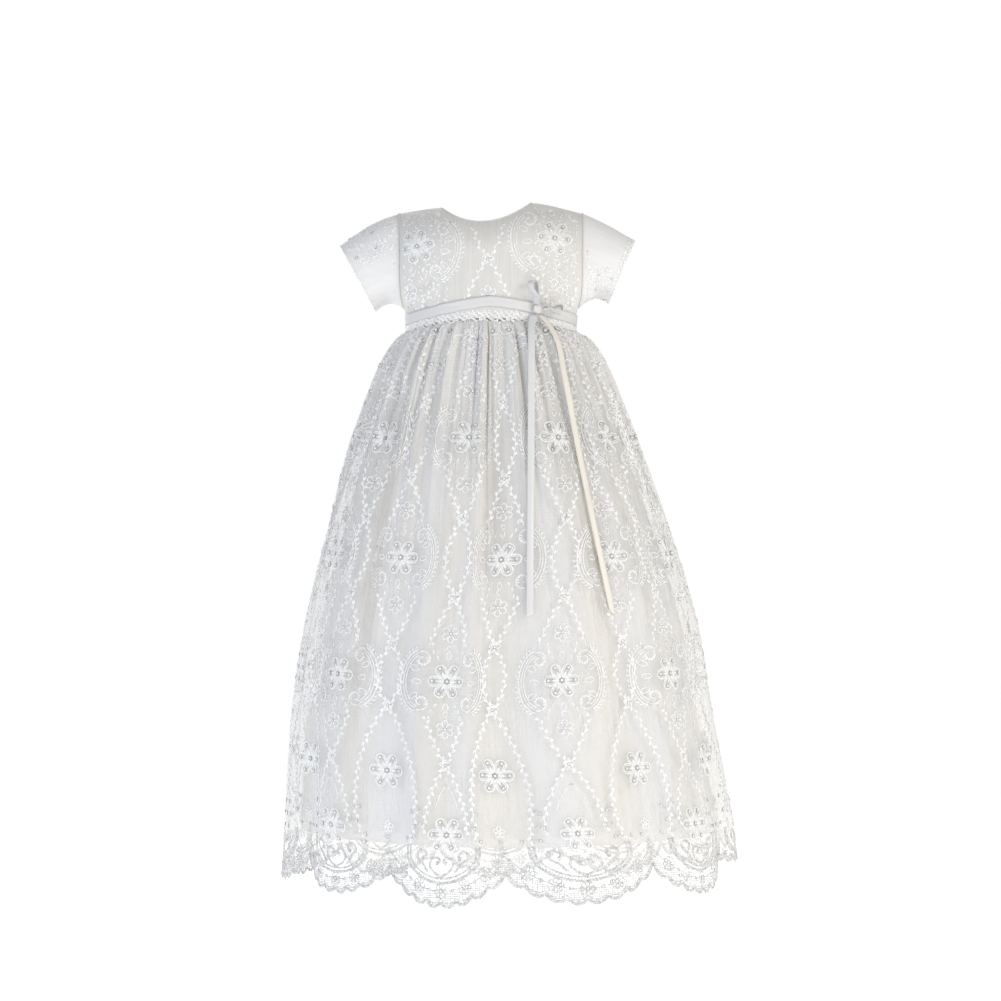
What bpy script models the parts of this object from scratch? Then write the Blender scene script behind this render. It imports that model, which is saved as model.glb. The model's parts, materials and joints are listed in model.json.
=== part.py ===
"""Christening gown for a baby: short set-in sleeves, satin ribbon belt with a bow,
and a long gathered skirt of scalloped net over a plain lining.

Metres, +Z up. The gown faces -Y and +X is the viewer's right. The origin lies
midway between the shoulders, where the wearer holds the gown up.
Angles round the body are in degrees from the centre front, growing towards +X.
"""
import math

import bmesh
import bpy
import numpy as np
from mathutils import Vector
from mathutils.bvhtree import BVHTree

# ---------------------------------------------------------------- driving sizes
BODICE_WALL = 0.0016      # net and lining sewn as one
NET_WALL = 0.0013         # the skirt's outer layer
LINING_WALL = 0.0013
RIBBON_WALL = 0.0010
SEAM_GAP = 0.0003         # left between two sewn pieces

WAIST_HALF_WIDTH = 0.0845
WAIST_HALF_DEPTH = 0.0620
WAIST_FRONT_Z = -0.1155   # waist seam at the centre front
WAIST_SIDE_DROP = 0.0105  # how much lower the seam runs at the side seams

UNDERARM_Z = -0.103
ARMHOLE_TOP_Z = -0.0085
ARMHOLE_HALF_DEPTH = 0.034
SHOULDER_ROLL = 0.045     # height over which the chest rolls back to the shoulder
NECK_SHIFT = -0.006       # the neck sits a little to -X of the middle
FRONT_NECK_TURN = 46      # degrees of the shoulder roll left open by the neckline in front
BACK_NECK_TURN = 38
UNDERLAP_NECK_TURN = 40   # the back panel that lies under the lap
NECK_SQUARENESS = 3.0     # how square the neckline's bottom is

SCALLOPS = 11
LOBES_PER_SCALLOP = 8     # small lobes along the edge of each scallop
COLUMNS_PER_SCALLOP = 2 * LOBES_PER_SCALLOP
GATHERS_PER_SCALLOP = 4
SKIRT_END_Z = -0.620      # last level ring, above the scallops
SKIRT_DROP = 0.512        # nominal height of the skirt tables below
LOBE_DEPTH = 0.0032
LINING_HEM_Z = -0.629
LINING_SIDE_RISE = 0.008
LINING_ROOM = 0.0026      # kept between the two skirt layers in front
GATHER_ROOM = 3.1         # times the gather depth that the lining keeps clear

RIBBON_WIDTH = 0.010
RIBBON_FRONT_Z = -0.0988
RIBBON_SIDE_DROP = 0.017
BELT_GAP = 1.35 * SEAM_GAP
BELT_STAND = BELT_GAP + RIBBON_WALL   # how far the belt's outer face stands off the bodice

HEM_WAVE_DEPTH = 0.0085   # soft waves at the hem, one to a scallop
HEM_RIPPLE_DEPTH = 0.0030
HEM_WAVE_START = 0.10     # below the waist, where these waves begin
HEM_WAVE_RUN = 0.38       # height over which they reach their full depth
FOLD_ONSET = 0.04         # height over which a long fold reaches its depth
FOLD_TAPER = 0.4          # share of a long fold's length over which it fades

SLEEVE_RING = 24
SLEEVE_STEPS = 6
SLEEVE_FULLNESS = 0.05    # how much a sleeve widens between armhole and cuff

TAIL_WIDTH = 0.009
TAIL_CLEARANCE = 0.0006
FRONT_HALF_WIDTH = 0.210  # oval that the skirt's front follows under the tails
FRONT_HALF_DEPTH = 0.168

KNOT_PLACE = (0.0445, -0.1060)      # x and z, on the ribbon belt
KNOT_HALF = (0.0050, 0.0028, 0.0052)
KNOT_STAND = 0.0016                 # clears the belt, which leans outwards going up
KNOT_SQUARENESS = 0.75
KNOT_SIDES = 14
LOOP_STEPS = 22
LOOP_ENDS = 0.0022                  # between a loop's two ends at the knot
LOOP_SINK = 0.0006                  # a loop's lower edge stands this far off the knot's foot

LAP_X = 0.0060            # how far the upper back edge laps past the centre back
BUTTON_RADIUS = 0.0050
BUTTON_HEIGHT = 0.0026
BUTTON_LEVELS = (-0.027, -0.054, -0.081)
BUTTON_SIDES = 20


def table(columns, rows):
    """A short table as a dictionary of arrays, one for each named column."""
    return dict(zip(columns.split(), np.array(rows, float).T))


# ---------------------------------------------------------------------- tables
# Bodice: widest half width and half depth of the chest at each level.
BODICE = table("z half_width half_depth edge_power", [
    (-0.1300, 0.0842, 0.0618, 0.50),
    (-0.1155, 0.0846, 0.0622, 0.50),
    (-0.1030, 0.0870, 0.0632, 0.52),
    (-0.0930, 0.0893, 0.0640, 0.62),
    (-0.0750, 0.0905, 0.0648, 0.72),
    (-0.0500, 0.0905, 0.0645, 0.75),
    (-0.0080, 0.0908, 0.0640, 0.75),
    (0.0100, 0.0908, 0.0640, 0.75),
])

# Shoulder line over the width: place is -1 and 1 at the armholes, -0.5 and 0.5 at the neck.
SHOULDER = table("place z", [
    (-1.0, -0.0085),
    (-0.5, -0.0030),
    (0.0, -0.0055),
    (0.5, 0.0018),
    (1.0, -0.0085),
])

# Rings of the bodice from the waist up: share of the height to the underarm, of the height
# from there to the shoulder roll, and degrees turned over the roll.
BODICE_RINGS = table("low high roll", [
    (0.0, 0.0, 0),
    (0.5, 0.0, 0),
    (1.0, 0.0, 0),
    (1.0, 0.22, 0),
    (1.0, 0.55, 0),
    (1.0, 1.0, 0),
    (1.0, 1.0, 24),
    (1.0, 1.0, 46),
    (1.0, 1.0, 66),
    (1.0, 1.0, 80),
    (1.0, 1.0, 90),
])

# Skirt: half sizes of the outer layer down from the waist seam; bare_side is how far the
# lining stands in from it at the sides.
SKIRT = table("below left right front back gather bare_side", [
    (0.000, 0.0843, 0.0843, 0.0618, 0.0618, 0.0008, 0.0037),
    (0.006, 0.0935, 0.0960, 0.0700, 0.0690, 0.0014, 0.0068),
    (0.018, 0.1035, 0.1075, 0.0800, 0.0780, 0.0024, 0.0115),
    (0.040, 0.1155, 0.1195, 0.0895, 0.0880, 0.0029, 0.0150),
    (0.075, 0.1285, 0.1335, 0.0995, 0.0990, 0.0026, 0.0165),
    (0.125, 0.1455, 0.1520, 0.1130, 0.1130, 0.0018, 0.0170),
    (0.195, 0.1640, 0.1770, 0.1300, 0.1310, 0.0010, 0.0170),
    (0.290, 0.1860, 0.2060, 0.1500, 0.1510, 0.0005, 0.0165),
    (0.395, 0.2020, 0.2240, 0.1690, 0.1700, 0.0002, 0.0160),
    (0.512, 0.2085, 0.2450, 0.1850, 0.1860, 0.0000, 0.0160),
    (0.580, 0.2130, 0.2525, 0.1890, 0.1900, 0.0000, 0.0160),
])
LINING_RINGS = (0.0, 0.006, 0.018, 0.055, 0.125, 0.235, 0.375)

# Scalloped hem: where each notch hangs round the hem (degrees), its height, and the depth
# of the scallop that follows it. The cloth lifts at the +X side.
HEM = table("angle notch_z depth", [
    (-95.5, -0.6380, 0.0270),
    (-64.5, -0.6430, 0.0268),
    (-32.0, -0.6500, 0.0320),
    (-1.2, -0.6535, 0.0300),
    (39.0, -0.6470, 0.0300),
    (69.9, -0.6440, 0.0100),
    (102.3, -0.6350, 0.0240),
    (134.8, -0.6470, 0.0290),
    (167.2, -0.6530, 0.0310),
    (199.6, -0.6530, 0.0310),
    (232.1, -0.6460, 0.0290),
])
FRONT_SCALLOPS = 6        # the front width of the skirt; the back has the other five
WAIST_START = -96.0       # where the first width starts on the waist seam

# Long folds: angle at the top and the bottom, where each starts and ends below the waist,
# half width and depth.
FOLDS = table("top_angle end_angle start end half_width depth", [
    (-33, -27, 0.020, 0.130, 0.0060, 0.0040),
    (-13, -15, 0.008, 0.150, 0.0060, 0.0045),
    (2.5, -4, 0.006, 0.300, 0.0075, 0.0065),
    (13, 14, 0.006, 0.070, 0.0050, 0.0035),
    (31, 27, 0.010, 0.190, 0.0060, 0.0045),
    (42, 30, 0.030, 0.330, 0.0080, 0.0055),
    (58, 60, 0.020, 0.260, 0.0080, 0.0045),
    (80, 83, 0.030, 0.330, 0.0090, 0.0050),
    (108, 104, 0.015, 0.240, 0.0080, 0.0050),
    (129, 133, 0.010, 0.350, 0.0090, 0.0060),
    (151, 149, 0.020, 0.180, 0.0070, 0.0045),
    (176, 172, 0.008, 0.320, 0.0085, 0.0065),
    (197, 201, 0.020, 0.210, 0.0070, 0.0045),
    (221, 217, 0.010, 0.300, 0.0085, 0.0055),
    (243, 246, 0.025, 0.260, 0.0080, 0.0050),
    (-86, -84, 0.020, 0.300, 0.0085, 0.0050),
    (-62, -66, 0.015, 0.250, 0.0080, 0.0050),
    (-47, -44, 0.060, 0.400, 0.0085, 0.0045),
])
# Sleeves: cuff ring seen from the front (top and bottom end), its depth, and how much the
# crown rounds up and the underside arches between armhole and cuff.
SLEEVES = {
    "sleeve_left": dict(side=-1, cuff_top=(-0.151, -0.041), cuff_bottom=(-0.1155, -0.1065),
                        cuff_half_depth=0.0255, crown=0.0035, arch=0.0050),
    "sleeve_right": dict(side=1, cuff_top=(0.142, -0.035), cuff_bottom=(0.1170, -0.0980),
                         cuff_half_depth=0.0245, crown=0.0015, arch=0.0060),
}

# Ribbon tails: their middle line in front view, from the knot down.
TAIL_STRAIGHT = table("x z", [
    (0.0415, -0.1120),
    (0.0402, -0.1220),
    (0.0400, -0.1360),
    (0.0398, -0.1800),
    (0.0392, -0.2600),
    (0.0385, -0.3400),
    (0.0380, -0.4080),
])
TAIL_SLANTED = table("x z", [
    (0.0490, -0.1120),
    (0.0570, -0.1215),
    (0.0640, -0.1340),
    (0.0720, -0.1700),
    (0.0850, -0.2400),
    (0.1010, -0.3200),
    (0.1185, -0.4030),
])

# Bow loops: the way they point in front view (degrees up from +X), how far they lean out
# from the bodice (degrees), length, half width at the widest, ribbon width, the turn
# about their own length (degrees), and the distance of their ends from the knot's side.
LOOPS = {
    "bow_loop_left": dict(point=113, lean=16, length=0.0250, half_width=0.0062,
                          width=0.0078, turn=22, seat=0.0004),
    "bow_loop_right": dict(point=-4, lean=16, length=0.0200, half_width=0.0066,
                           width=0.0078, turn=-20, seat=0.0001),
}

# A button's outline: share of its radius and of its height.
BUTTON_OUTLINE = ((0.86, 0.0), (1.0, 0.22), (0.93, 0.55), (0.62, 0.88))


# --------------------------------------------------------------------- helpers
def smooth_read(at, xs, ys):
    """Cubic Hermite reading of a table column, with slopes from its neighbours."""
    at = np.clip(np.asarray(at, float), xs[0], xs[-1])
    slopes = np.gradient(ys, xs)
    k = np.clip(np.searchsorted(xs, at) - 1, 0, len(xs) - 2)
    width = xs[k + 1] - xs[k]
    t = (at - xs[k]) / width
    return ((1 + 2 * t) * (1 - t) ** 2 * ys[k] + t * (1 - t) ** 2 * width * slopes[k]
            + t ** 2 * (3 - 2 * t) * ys[k + 1] + t ** 2 * (t - 1) * width * slopes[k + 1])


def ease(t):
    """0 to 1 with a level start and end."""
    t = np.clip(t, 0.0, 1.0)
    return t * t * (3 - 2 * t)


def grid_normals(grid, closed):
    """Unit normals of a grid of points (rings, columns, xyz), pointing along
    (column direction) x (ring direction)."""
    if closed:
        across = np.roll(grid, -1, axis=1) - np.roll(grid, 1, axis=1)
    else:
        across = np.gradient(grid, axis=1)
    along = np.gradient(grid, axis=0)
    normal = np.cross(across, along)
    return normal / np.linalg.norm(normal, axis=2, keepdims=True)


def new_material(name, colour, roughness, sheen=0.0):
    material = bpy.data.materials.new(name)
    material.use_nodes = True
    shader = material.node_tree.nodes["Principled BSDF"]
    shader.inputs["Base Color"].default_value = (*colour, 1.0)
    shader.inputs["Roughness"].default_value = roughness
    shader.inputs["Sheen Weight"].default_value = sheen
    material.diffuse_color = (*colour, 1.0)
    return material


def add_object(name, points, faces, material):
    mesh = bpy.data.meshes.new(name)
    mesh.from_pydata([tuple(p) for p in points], [], faces)
    tidy = bmesh.new()
    tidy.from_mesh(mesh)
    bmesh.ops.recalc_face_normals(tidy, faces=tidy.faces)
    tidy.to_mesh(mesh)
    tidy.free()
    mesh.shade_smooth()
    mesh.set_sharp_from_angle(angle=math.radians(50))
    mesh.materials.append(material)
    made = bpy.data.objects.new(name, mesh)
    bpy.context.scene.collection.objects.link(made)
    return made


def add_wall(name, outer, inner, material, closed=False):
    """A wall between two grids of points (rings, columns, xyz)."""
    rings, columns = outer.shape[:2]
    spans = columns if closed else columns - 1
    layer = rings * columns

    def at(ring, column, side):
        return side * layer + ring * columns + column % columns

    faces = []
    for side in (0, 1):
        for r in range(rings - 1):
            for c in range(spans):
                faces.append((at(r, c, side), at(r, c + 1, side),
                              at(r + 1, c + 1, side), at(r + 1, c, side)))
    for r in (0, rings - 1):
        for c in range(spans):
            faces.append((at(r, c, 0), at(r, c + 1, 0), at(r, c + 1, 1), at(r, c, 1)))
    if not closed:
        for c in (0, columns - 1):
            for r in range(rings - 1):
                faces.append((at(r, c, 0), at(r + 1, c, 0), at(r + 1, c, 1), at(r, c, 1)))
    points = np.concatenate([outer.reshape(-1, 3), inner.reshape(-1, 3)])
    return add_object(name, points, faces, material)


def add_rounded(name, rings, low, high, material):
    """A closed body from rings of points (rings, sides, xyz), capped with a fan to the
    point low below the first ring and to the point high above the last."""
    count, sides = rings.shape[:2]
    points = [*rings.reshape(-1, 3), low, high]
    low_point, high_point = len(points) - 2, len(points) - 1
    faces = []
    for r in range(count - 1):
        for s in range(sides):
            a, b = r * sides + s, r * sides + (s + 1) % sides
            faces.append((a, b, b + sides, a + sides))
    last = (count - 1) * sides
    for s in range(sides):
        faces.append((low_point, s, (s + 1) % sides))
        faces.append((high_point, last + s, last + (s + 1) % sides))
    return add_object(name, points, faces, material)


def part_edges(grid, gap=SEAM_GAP):
    """Move the first and the last column half a seam gap into the piece."""
    grid = grid.copy()
    for edge, inside in ((0, 1), (-1, -2)):
        step = grid[:, inside] - grid[:, edge]
        length = np.linalg.norm(step, axis=1, keepdims=True)
        grid[:, edge] += step / length * gap / 2
    return grid


# ---------------------------------------------------------------------- bodice
def waist_z(angle):
    """Height of the waist seam at an angle in degrees."""
    return WAIST_FRONT_Z - WAIST_SIDE_DROP * np.sin(np.radians(angle)) ** 2


def armhole_depth(z):
    """Half depth of the oval armhole at a level, 0 outside it."""
    middle = (UNDERARM_Z + ARMHOLE_TOP_Z) / 2
    half = (ARMHOLE_TOP_Z - UNDERARM_Z) / 2
    return ARMHOLE_HALF_DEPTH * np.sqrt(np.clip(1 - ((z - middle) / half) ** 2, 0, 1))


def bodice_depth(place, z, roll):
    """Distance of the cloth from the plane of the side seams; place runs from -1 to 1
    over the width, roll is the turn over the shoulder in radians."""
    reach = smooth_read(z, BODICE["z"], BODICE["half_depth"]) * np.cos(roll)
    power = smooth_read(z, BODICE["z"], BODICE["edge_power"])
    edge = armhole_depth(z)
    return edge + np.maximum(reach - edge, 0) * np.clip(1 - place ** 2, 0, 1) ** power


def bodice_x(place, z):
    """X of a place over the width; the neck's middle lies a little to one side."""
    half_width = smooth_read(z, BODICE["z"], BODICE["half_width"])
    shift = NECK_SHIFT * ease((z - UNDERARM_Z) / (ARMHOLE_TOP_Z - UNDERARM_Z))
    return place * half_width + shift * (1 - place ** 2)


def bodice_grid(turns, facing, neck_turn):
    """Outer points of one panel. turns are degrees over the width (-90 to 90), facing is
    -1 for the front and 1 for the back, neck_turn is how far the neckline stays down.
    Each column climbs from the waist to the shoulder roll and turns over it."""
    place = np.sin(np.radians(np.asarray(turns, float)))[None, :]
    low, high = BODICE_RINGS["low"][:, None], BODICE_RINGS["high"][:, None]
    waist = WAIST_FRONT_Z - WAIST_SIDE_DROP * place ** 2
    shoulder = smooth_read(place, SHOULDER["place"], SHOULDER["z"])
    start = shoulder - SHOULDER_ROLL
    in_neck = np.sqrt(np.clip(1 - np.abs(2 * place) ** NECK_SQUARENESS, 0, 1))
    whole_turn = 90 - neck_turn * in_neck
    roll = np.radians(BODICE_RINGS["roll"][:, None] / 90 * whole_turn)
    z = waist + (UNDERARM_Z - waist) * low + (start - UNDERARM_Z) * high
    z = z + SHOULDER_ROLL * np.sin(roll)
    place = np.broadcast_to(place, z.shape)
    y = facing * np.maximum(bodice_depth(place, z, roll), SEAM_GAP / 2)
    return np.stack([bodice_x(place, z), y, z], axis=2)


def bodice_panel(name, turns, facing, neck_turn, material, sink=None):
    """One panel as a wall; sink moves each of its columns inwards, under a lap."""
    outer = bodice_grid(turns, facing, neck_turn)
    normals = grid_normals(outer, closed=False) * -facing
    if sink is not None:
        outer = outer - normals * sink[None, :, None]
    inner = outer - normals * BODICE_WALL
    for grid in (outer, inner):
        grid[:, :, 1] = facing * np.maximum(facing * grid[:, :, 1], SEAM_GAP / 2)
    inner[0, :, 2] = outer[0, :, 2]
    return add_wall(name, outer, inner, material)


def add_bodice(material):
    """Front panel, and two back panels that lap at the centre back. The columns stand
    closer across the neck."""
    side, neck = range(-90, -30, 10), range(-30, 1, 5)
    across = np.array([*side, *neck, *(-t for t in reversed((*side, *neck[:-1])))])
    bodice_panel("bodice_front", across, -1, FRONT_NECK_TURN, material)
    lap = math.degrees(math.asin(LAP_X / WAIST_HALF_WIDTH))
    left = np.array([*side, *neck, lap])
    bodice_panel("bodice_back_left", left, 1, BACK_NECK_TURN, material)
    right = np.array([-lap, 1.4 * lap, 2.3 * lap, *range(15, 30, 5), *range(30, 91, 10)])
    sink = np.zeros(len(right))
    sink[:2] = BODICE_WALL + 3 * SEAM_GAP
    bodice_panel("bodice_back_right", right, 1, UNDERLAP_NECK_TURN, material, sink)


def add_sleeve(name, side, cuff_top, cuff_bottom, cuff_half_depth, crown, arch, material):
    """A short set-in sleeve: a tube from the oval armhole to the cuff's ellipse."""
    turn = np.linspace(0, 2 * np.pi, SLEEVE_RING, endpoint=False)
    up, back = np.cos(turn), np.sin(turn)
    middle = (UNDERARM_Z + ARMHOLE_TOP_Z) / 2
    half = (ARMHOLE_TOP_Z - UNDERARM_Z) / 2
    root_z = middle + half * up
    root_x = side * (smooth_read(root_z, BODICE["z"], BODICE["half_width"]) + 2 * SEAM_GAP)
    root = np.stack([root_x, ARMHOLE_HALF_DEPTH * back, root_z], axis=1)
    top, bottom = np.array(cuff_top), np.array(cuff_bottom)
    centre, arm = (top + bottom) / 2, (top - bottom) / 2
    cuff = np.stack([centre[0] + arm[0] * up, cuff_half_depth * back,
                     centre[1] + arm[1] * up], axis=1)
    rings_out, rings_in = [], []
    for step in range(SLEEVE_STEPS + 1):
        t = step / SLEEVE_STEPS
        ring = root + (cuff - root) * t
        swell = math.sin(math.pi * t)
        ring[:, 2] += swell * np.where(up > 0, crown, arch) * np.abs(up)
        ring[:, 1] *= 1 + SLEEVE_FULLNESS * swell
        inward = ring.mean(axis=0) - ring
        inward[:, 0] *= t
        inward /= np.linalg.norm(inward, axis=1, keepdims=True)
        rings_out.append(ring)
        rings_in.append(ring + inward * BODICE_WALL)
    add_wall(name, np.array(rings_out), np.array(rings_in), material, closed=True)


# ----------------------------------------------------------------------- skirt
def hem_angle(cloth):
    """Where the cloth hangs at the hem; cloth counts scallops round the skirt."""
    angles = HEM["angle"]
    places = np.concatenate([angles[-1:] - 360, angles, angles[:2] + 360])
    return smooth_read(cloth, np.arange(-1.0, SCALLOPS + 2), places)


def waist_angle(cloth):
    """Where the cloth is sewn to the waist, in gathers of uneven width that even out
    towards the side seam where the count starts."""
    uneven = 0.9 * np.sin(5.3 * cloth) + 0.6 * np.sin(11.9 * cloth + 1.0)
    settle = ease(4 * np.minimum(cloth, SCALLOPS - cloth))
    return WAIST_START + 360 * cloth / SCALLOPS + uneven * settle


def cloth_angle(cloth, below):
    """Where a thread that runs down the cloth hangs at a level below the waist."""
    share = ease(below / (0.9 * SKIRT_DROP))
    return waist_angle(cloth) + (hem_angle(cloth) - waist_angle(cloth)) * share


def angle_gap(a, b):
    """Difference of two angles in degrees, from -180 to 180."""
    return (a - b + 180) % 360 - 180


def skirt_section(angle, below):
    """Point on the skirt's plain tube, before gathers and folds."""
    turn = np.radians(angle)
    left = smooth_read(below, SKIRT["below"], SKIRT["left"])
    right = smooth_read(below, SKIRT["below"], SKIRT["right"])
    front = smooth_read(below, SKIRT["below"], SKIRT["front"])
    back = smooth_read(below, SKIRT["below"], SKIRT["back"])
    half_width, half_depth = (left + right) / 2, (front + back) / 2
    x = (right - left) / 2 + half_width * np.sin(turn)
    y = (back - front) / 2 - half_depth * np.cos(turn)
    stretch = (waist_z(angle) - SKIRT_END_Z) / SKIRT_DROP
    z = waist_z(angle) - SEAM_GAP - below * stretch
    return np.stack([x, y, z], axis=-1)


def skirt_radius(below):
    """Rough radius of the skirt, for turning degrees into metres."""
    return 0.07 + 0.26 * below


def gather_depth(cloth, below):
    """Small gathers: 0 on a crest, growing inwards."""
    size = smooth_read(below, SKIRT["below"], SKIRT["gather"])
    number = np.round(cloth * GATHERS_PER_SCALLOP)
    uneven = 1 + 0.30 * np.sin(2.4 * number) + 0.15 * np.sin(5.1 * number + 0.7)
    wave = 1 - np.cos(2 * np.pi * GATHERS_PER_SCALLOP * cloth)
    return size * uneven * wave


def fold_depth(cloth, below):
    """Long folds and the soft waves of the hem, growing inwards. A fold's depth falls off
    as a bell on both sides of its line, which runs from its top to its end angle."""
    angle = cloth_angle(cloth, below)
    radius = skirt_radius(below)
    total = np.zeros(np.broadcast(cloth, below).shape)
    for top_angle, end_angle, start, end, half_width, depth in zip(*FOLDS.values()):
        share = np.clip((below - start) / (end - start), 0, 1)
        line = top_angle + (end_angle - top_angle) * share
        off = np.radians(angle_gap(angle, line)) * radius
        onset = ease((below - start + FOLD_ONSET / 2) / FOLD_ONSET)
        taper = 1 - ease((below - (1 - FOLD_TAPER) * end) / (FOLD_TAPER * end))
        total += depth * np.exp(-(off / half_width) ** 2) * onset * taper
    low = ease((below - HEM_WAVE_START) / HEM_WAVE_RUN)
    total += HEM_WAVE_DEPTH * low * (1 + np.cos(2 * np.pi * cloth)) / 2
    total += HEM_RIPPLE_DEPTH * low * (1 + np.sin(4 * np.pi * cloth + 1.1)) / 2
    return total


def scallop_hem(cloth):
    """Hem line: round scallops, each edged with small even lobes."""
    share = cloth % 1.0
    start = cloth.astype(int) % SCALLOPS
    notch = HEM["notch_z"][start] * (1 - share) + HEM["notch_z"][(start + 1) % SCALLOPS] * share
    scallop = HEM["depth"][start] * np.sin(np.pi * share) ** 0.75
    lobes = LOBE_DEPTH * np.abs(np.sin(np.pi * LOBES_PER_SCALLOP * share))
    return notch - scallop - lobes


def skirt_layer(cloth, levels, hem_z, inset, wall):
    """Outer and inner grids of one skirt layer: rings at the given levels below the waist,
    and a last one that follows hem_z. inset is how far the layer stands in."""
    angle = cloth_angle(cloth, SKIRT_DROP)
    hem = (waist_z(angle) - SEAM_GAP - hem_z) * SKIRT_DROP / (waist_z(angle) - SKIRT_END_Z)
    below = np.vstack([np.tile(np.array(levels)[:, None], (1, cloth.size)), hem])
    cloth = np.broadcast_to(cloth, below.shape)
    plain = skirt_section(cloth_angle(cloth, below), below)
    normal = -grid_normals(plain, closed=True)
    normal[0, :, 2] = 0
    normal /= np.linalg.norm(normal, axis=2, keepdims=True)
    depth = fold_depth(cloth, below) + inset(cloth, below)
    outer = plain - normal * depth[:, :, None]
    return outer, outer - normal * wall


def lining_inset(cloth, below):
    """How far the lining stands in from the net: close in front, bare at the sides."""
    angle = cloth_angle(cloth, below)
    gathers = GATHER_ROOM * smooth_read(below, SKIRT["below"], SKIRT["gather"])
    close = NET_WALL + 3 * SEAM_GAP + gathers + LINING_ROOM * ease(below / 0.04)
    bare = smooth_read(below, SKIRT["below"], SKIRT["bare_side"])
    return close + np.maximum(bare - close, 0) * np.abs(np.sin(np.radians(angle))) ** 3


def add_width(name, outer, inner, first, last, material):
    """One width of a skirt layer: the columns from first to last, parted at the seams."""
    columns = np.arange(first, last + 1) % outer.shape[1]
    add_wall(name, part_edges(outer[:, columns]), part_edges(inner[:, columns]), material)


def add_skirt(net, lining):
    """Both layers, each in two widths; gives back the net's outer points."""
    columns = SCALLOPS * COLUMNS_PER_SCALLOP
    cloth = np.arange(columns) / COLUMNS_PER_SCALLOP
    levels = SKIRT["below"][:-1]
    outer, inner = skirt_layer(cloth, levels, scallop_hem(cloth), gather_depth, NET_WALL)
    seam = FRONT_SCALLOPS * COLUMNS_PER_SCALLOP
    add_width("skirt_net_front", outer, inner, 0, seam, net)
    add_width("skirt_net_back", outer, inner, seam, columns, net)

    cloth = cloth[::2]
    hem = LINING_HEM_Z + LINING_SIDE_RISE * np.sin(np.radians(hem_angle(cloth))) ** 2
    lining_out, lining_in = skirt_layer(cloth, LINING_RINGS, hem, lining_inset, LINING_WALL)
    add_width("skirt_lining_front", lining_out, lining_in, 0, seam // 2, lining)
    add_width("skirt_lining_back", lining_out, lining_in, seam // 2, columns // 2, lining)
    return outer


# -------------------------------------------------------------- ribbon and bow
def ribbon_z(place):
    """Height of the belt's middle line."""
    return RIBBON_FRONT_Z - RIBBON_SIDE_DROP * np.abs(place) ** 1.3


def add_belt(material):
    """Satin ribbon sewn round the bodice above the waist seam, open at the back lap. Its
    columns are degrees over the width, on the back (1), the front (-1) and the back."""
    lap = math.degrees(math.asin(LAP_X / WAIST_HALF_WIDTH))
    columns = [(turn, 1) for turn in (0.95 * lap, *range(0, -81, -10))]
    columns += [(turn, -1) for turn in range(-90, 91, 10)]
    columns += [(turn, 1) for turn in (*range(80, 19, -10), 2.35 * lap)]
    outer, inner = [], []
    for edge in (-RIBBON_WIDTH / 2, RIBBON_WIDTH / 2):
        for turn, facing in columns:
            place = math.sin(math.radians(turn))
            z = ribbon_z(place) + edge
            point = Vector((bodice_x(place, z), facing * bodice_depth(place, z, 0.0), z))
            away = Vector((place / WAIST_HALF_WIDTH,
                           facing * math.cos(math.radians(turn)) / WAIST_HALF_DEPTH, 0))
            away.normalize()
            inner.append(point + away * BELT_GAP)
            outer.append(point + away * BELT_STAND)
    shape = (2, len(columns), 3)
    add_wall("waist_ribbon", np.array(outer).reshape(shape), np.array(inner).reshape(shape),
             material)


def front_of_belt(x, z):
    """Y of the belt's outer face at x, and its normal."""
    depth = float(bodice_depth(x / WAIST_HALF_WIDTH, z, 0.0))
    normal = Vector((x / WAIST_HALF_WIDTH ** 2, -depth / WAIST_HALF_DEPTH ** 2, 0)).normalized()
    return -depth + BELT_STAND / normal.y, normal


def add_knot(material):
    """The bow's knot: a rounded block on the belt, a ball whose coordinates are raised to
    a power below 1 to square it up."""
    x, z = KNOT_PLACE
    y, normal = front_of_belt(x, z)
    centre = Vector((x, y, z)) + normal * (KNOT_HALF[1] + KNOT_STAND)
    axes = np.array([Vector((0, 0, 1)).cross(normal), normal, (0, 0, 1)])
    tilt = np.radians([-60, -30, 0, 30, 60])[:, None]
    turn = np.linspace(0, 2 * np.pi, KNOT_SIDES, endpoint=False)[None, :]
    ball = np.stack([np.cos(tilt) * np.cos(turn), np.sin(tilt) + 0 * turn,
                     np.cos(tilt) * np.sin(turn)], axis=2)
    ball = np.sign(ball) * np.abs(ball) ** KNOT_SQUARENESS * KNOT_HALF
    rise = normal * KNOT_HALF[1]
    add_rounded("bow_knot", ball @ axes + np.array(centre), centre - rise, centre + rise,
                material)
    return centre, normal


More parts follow.
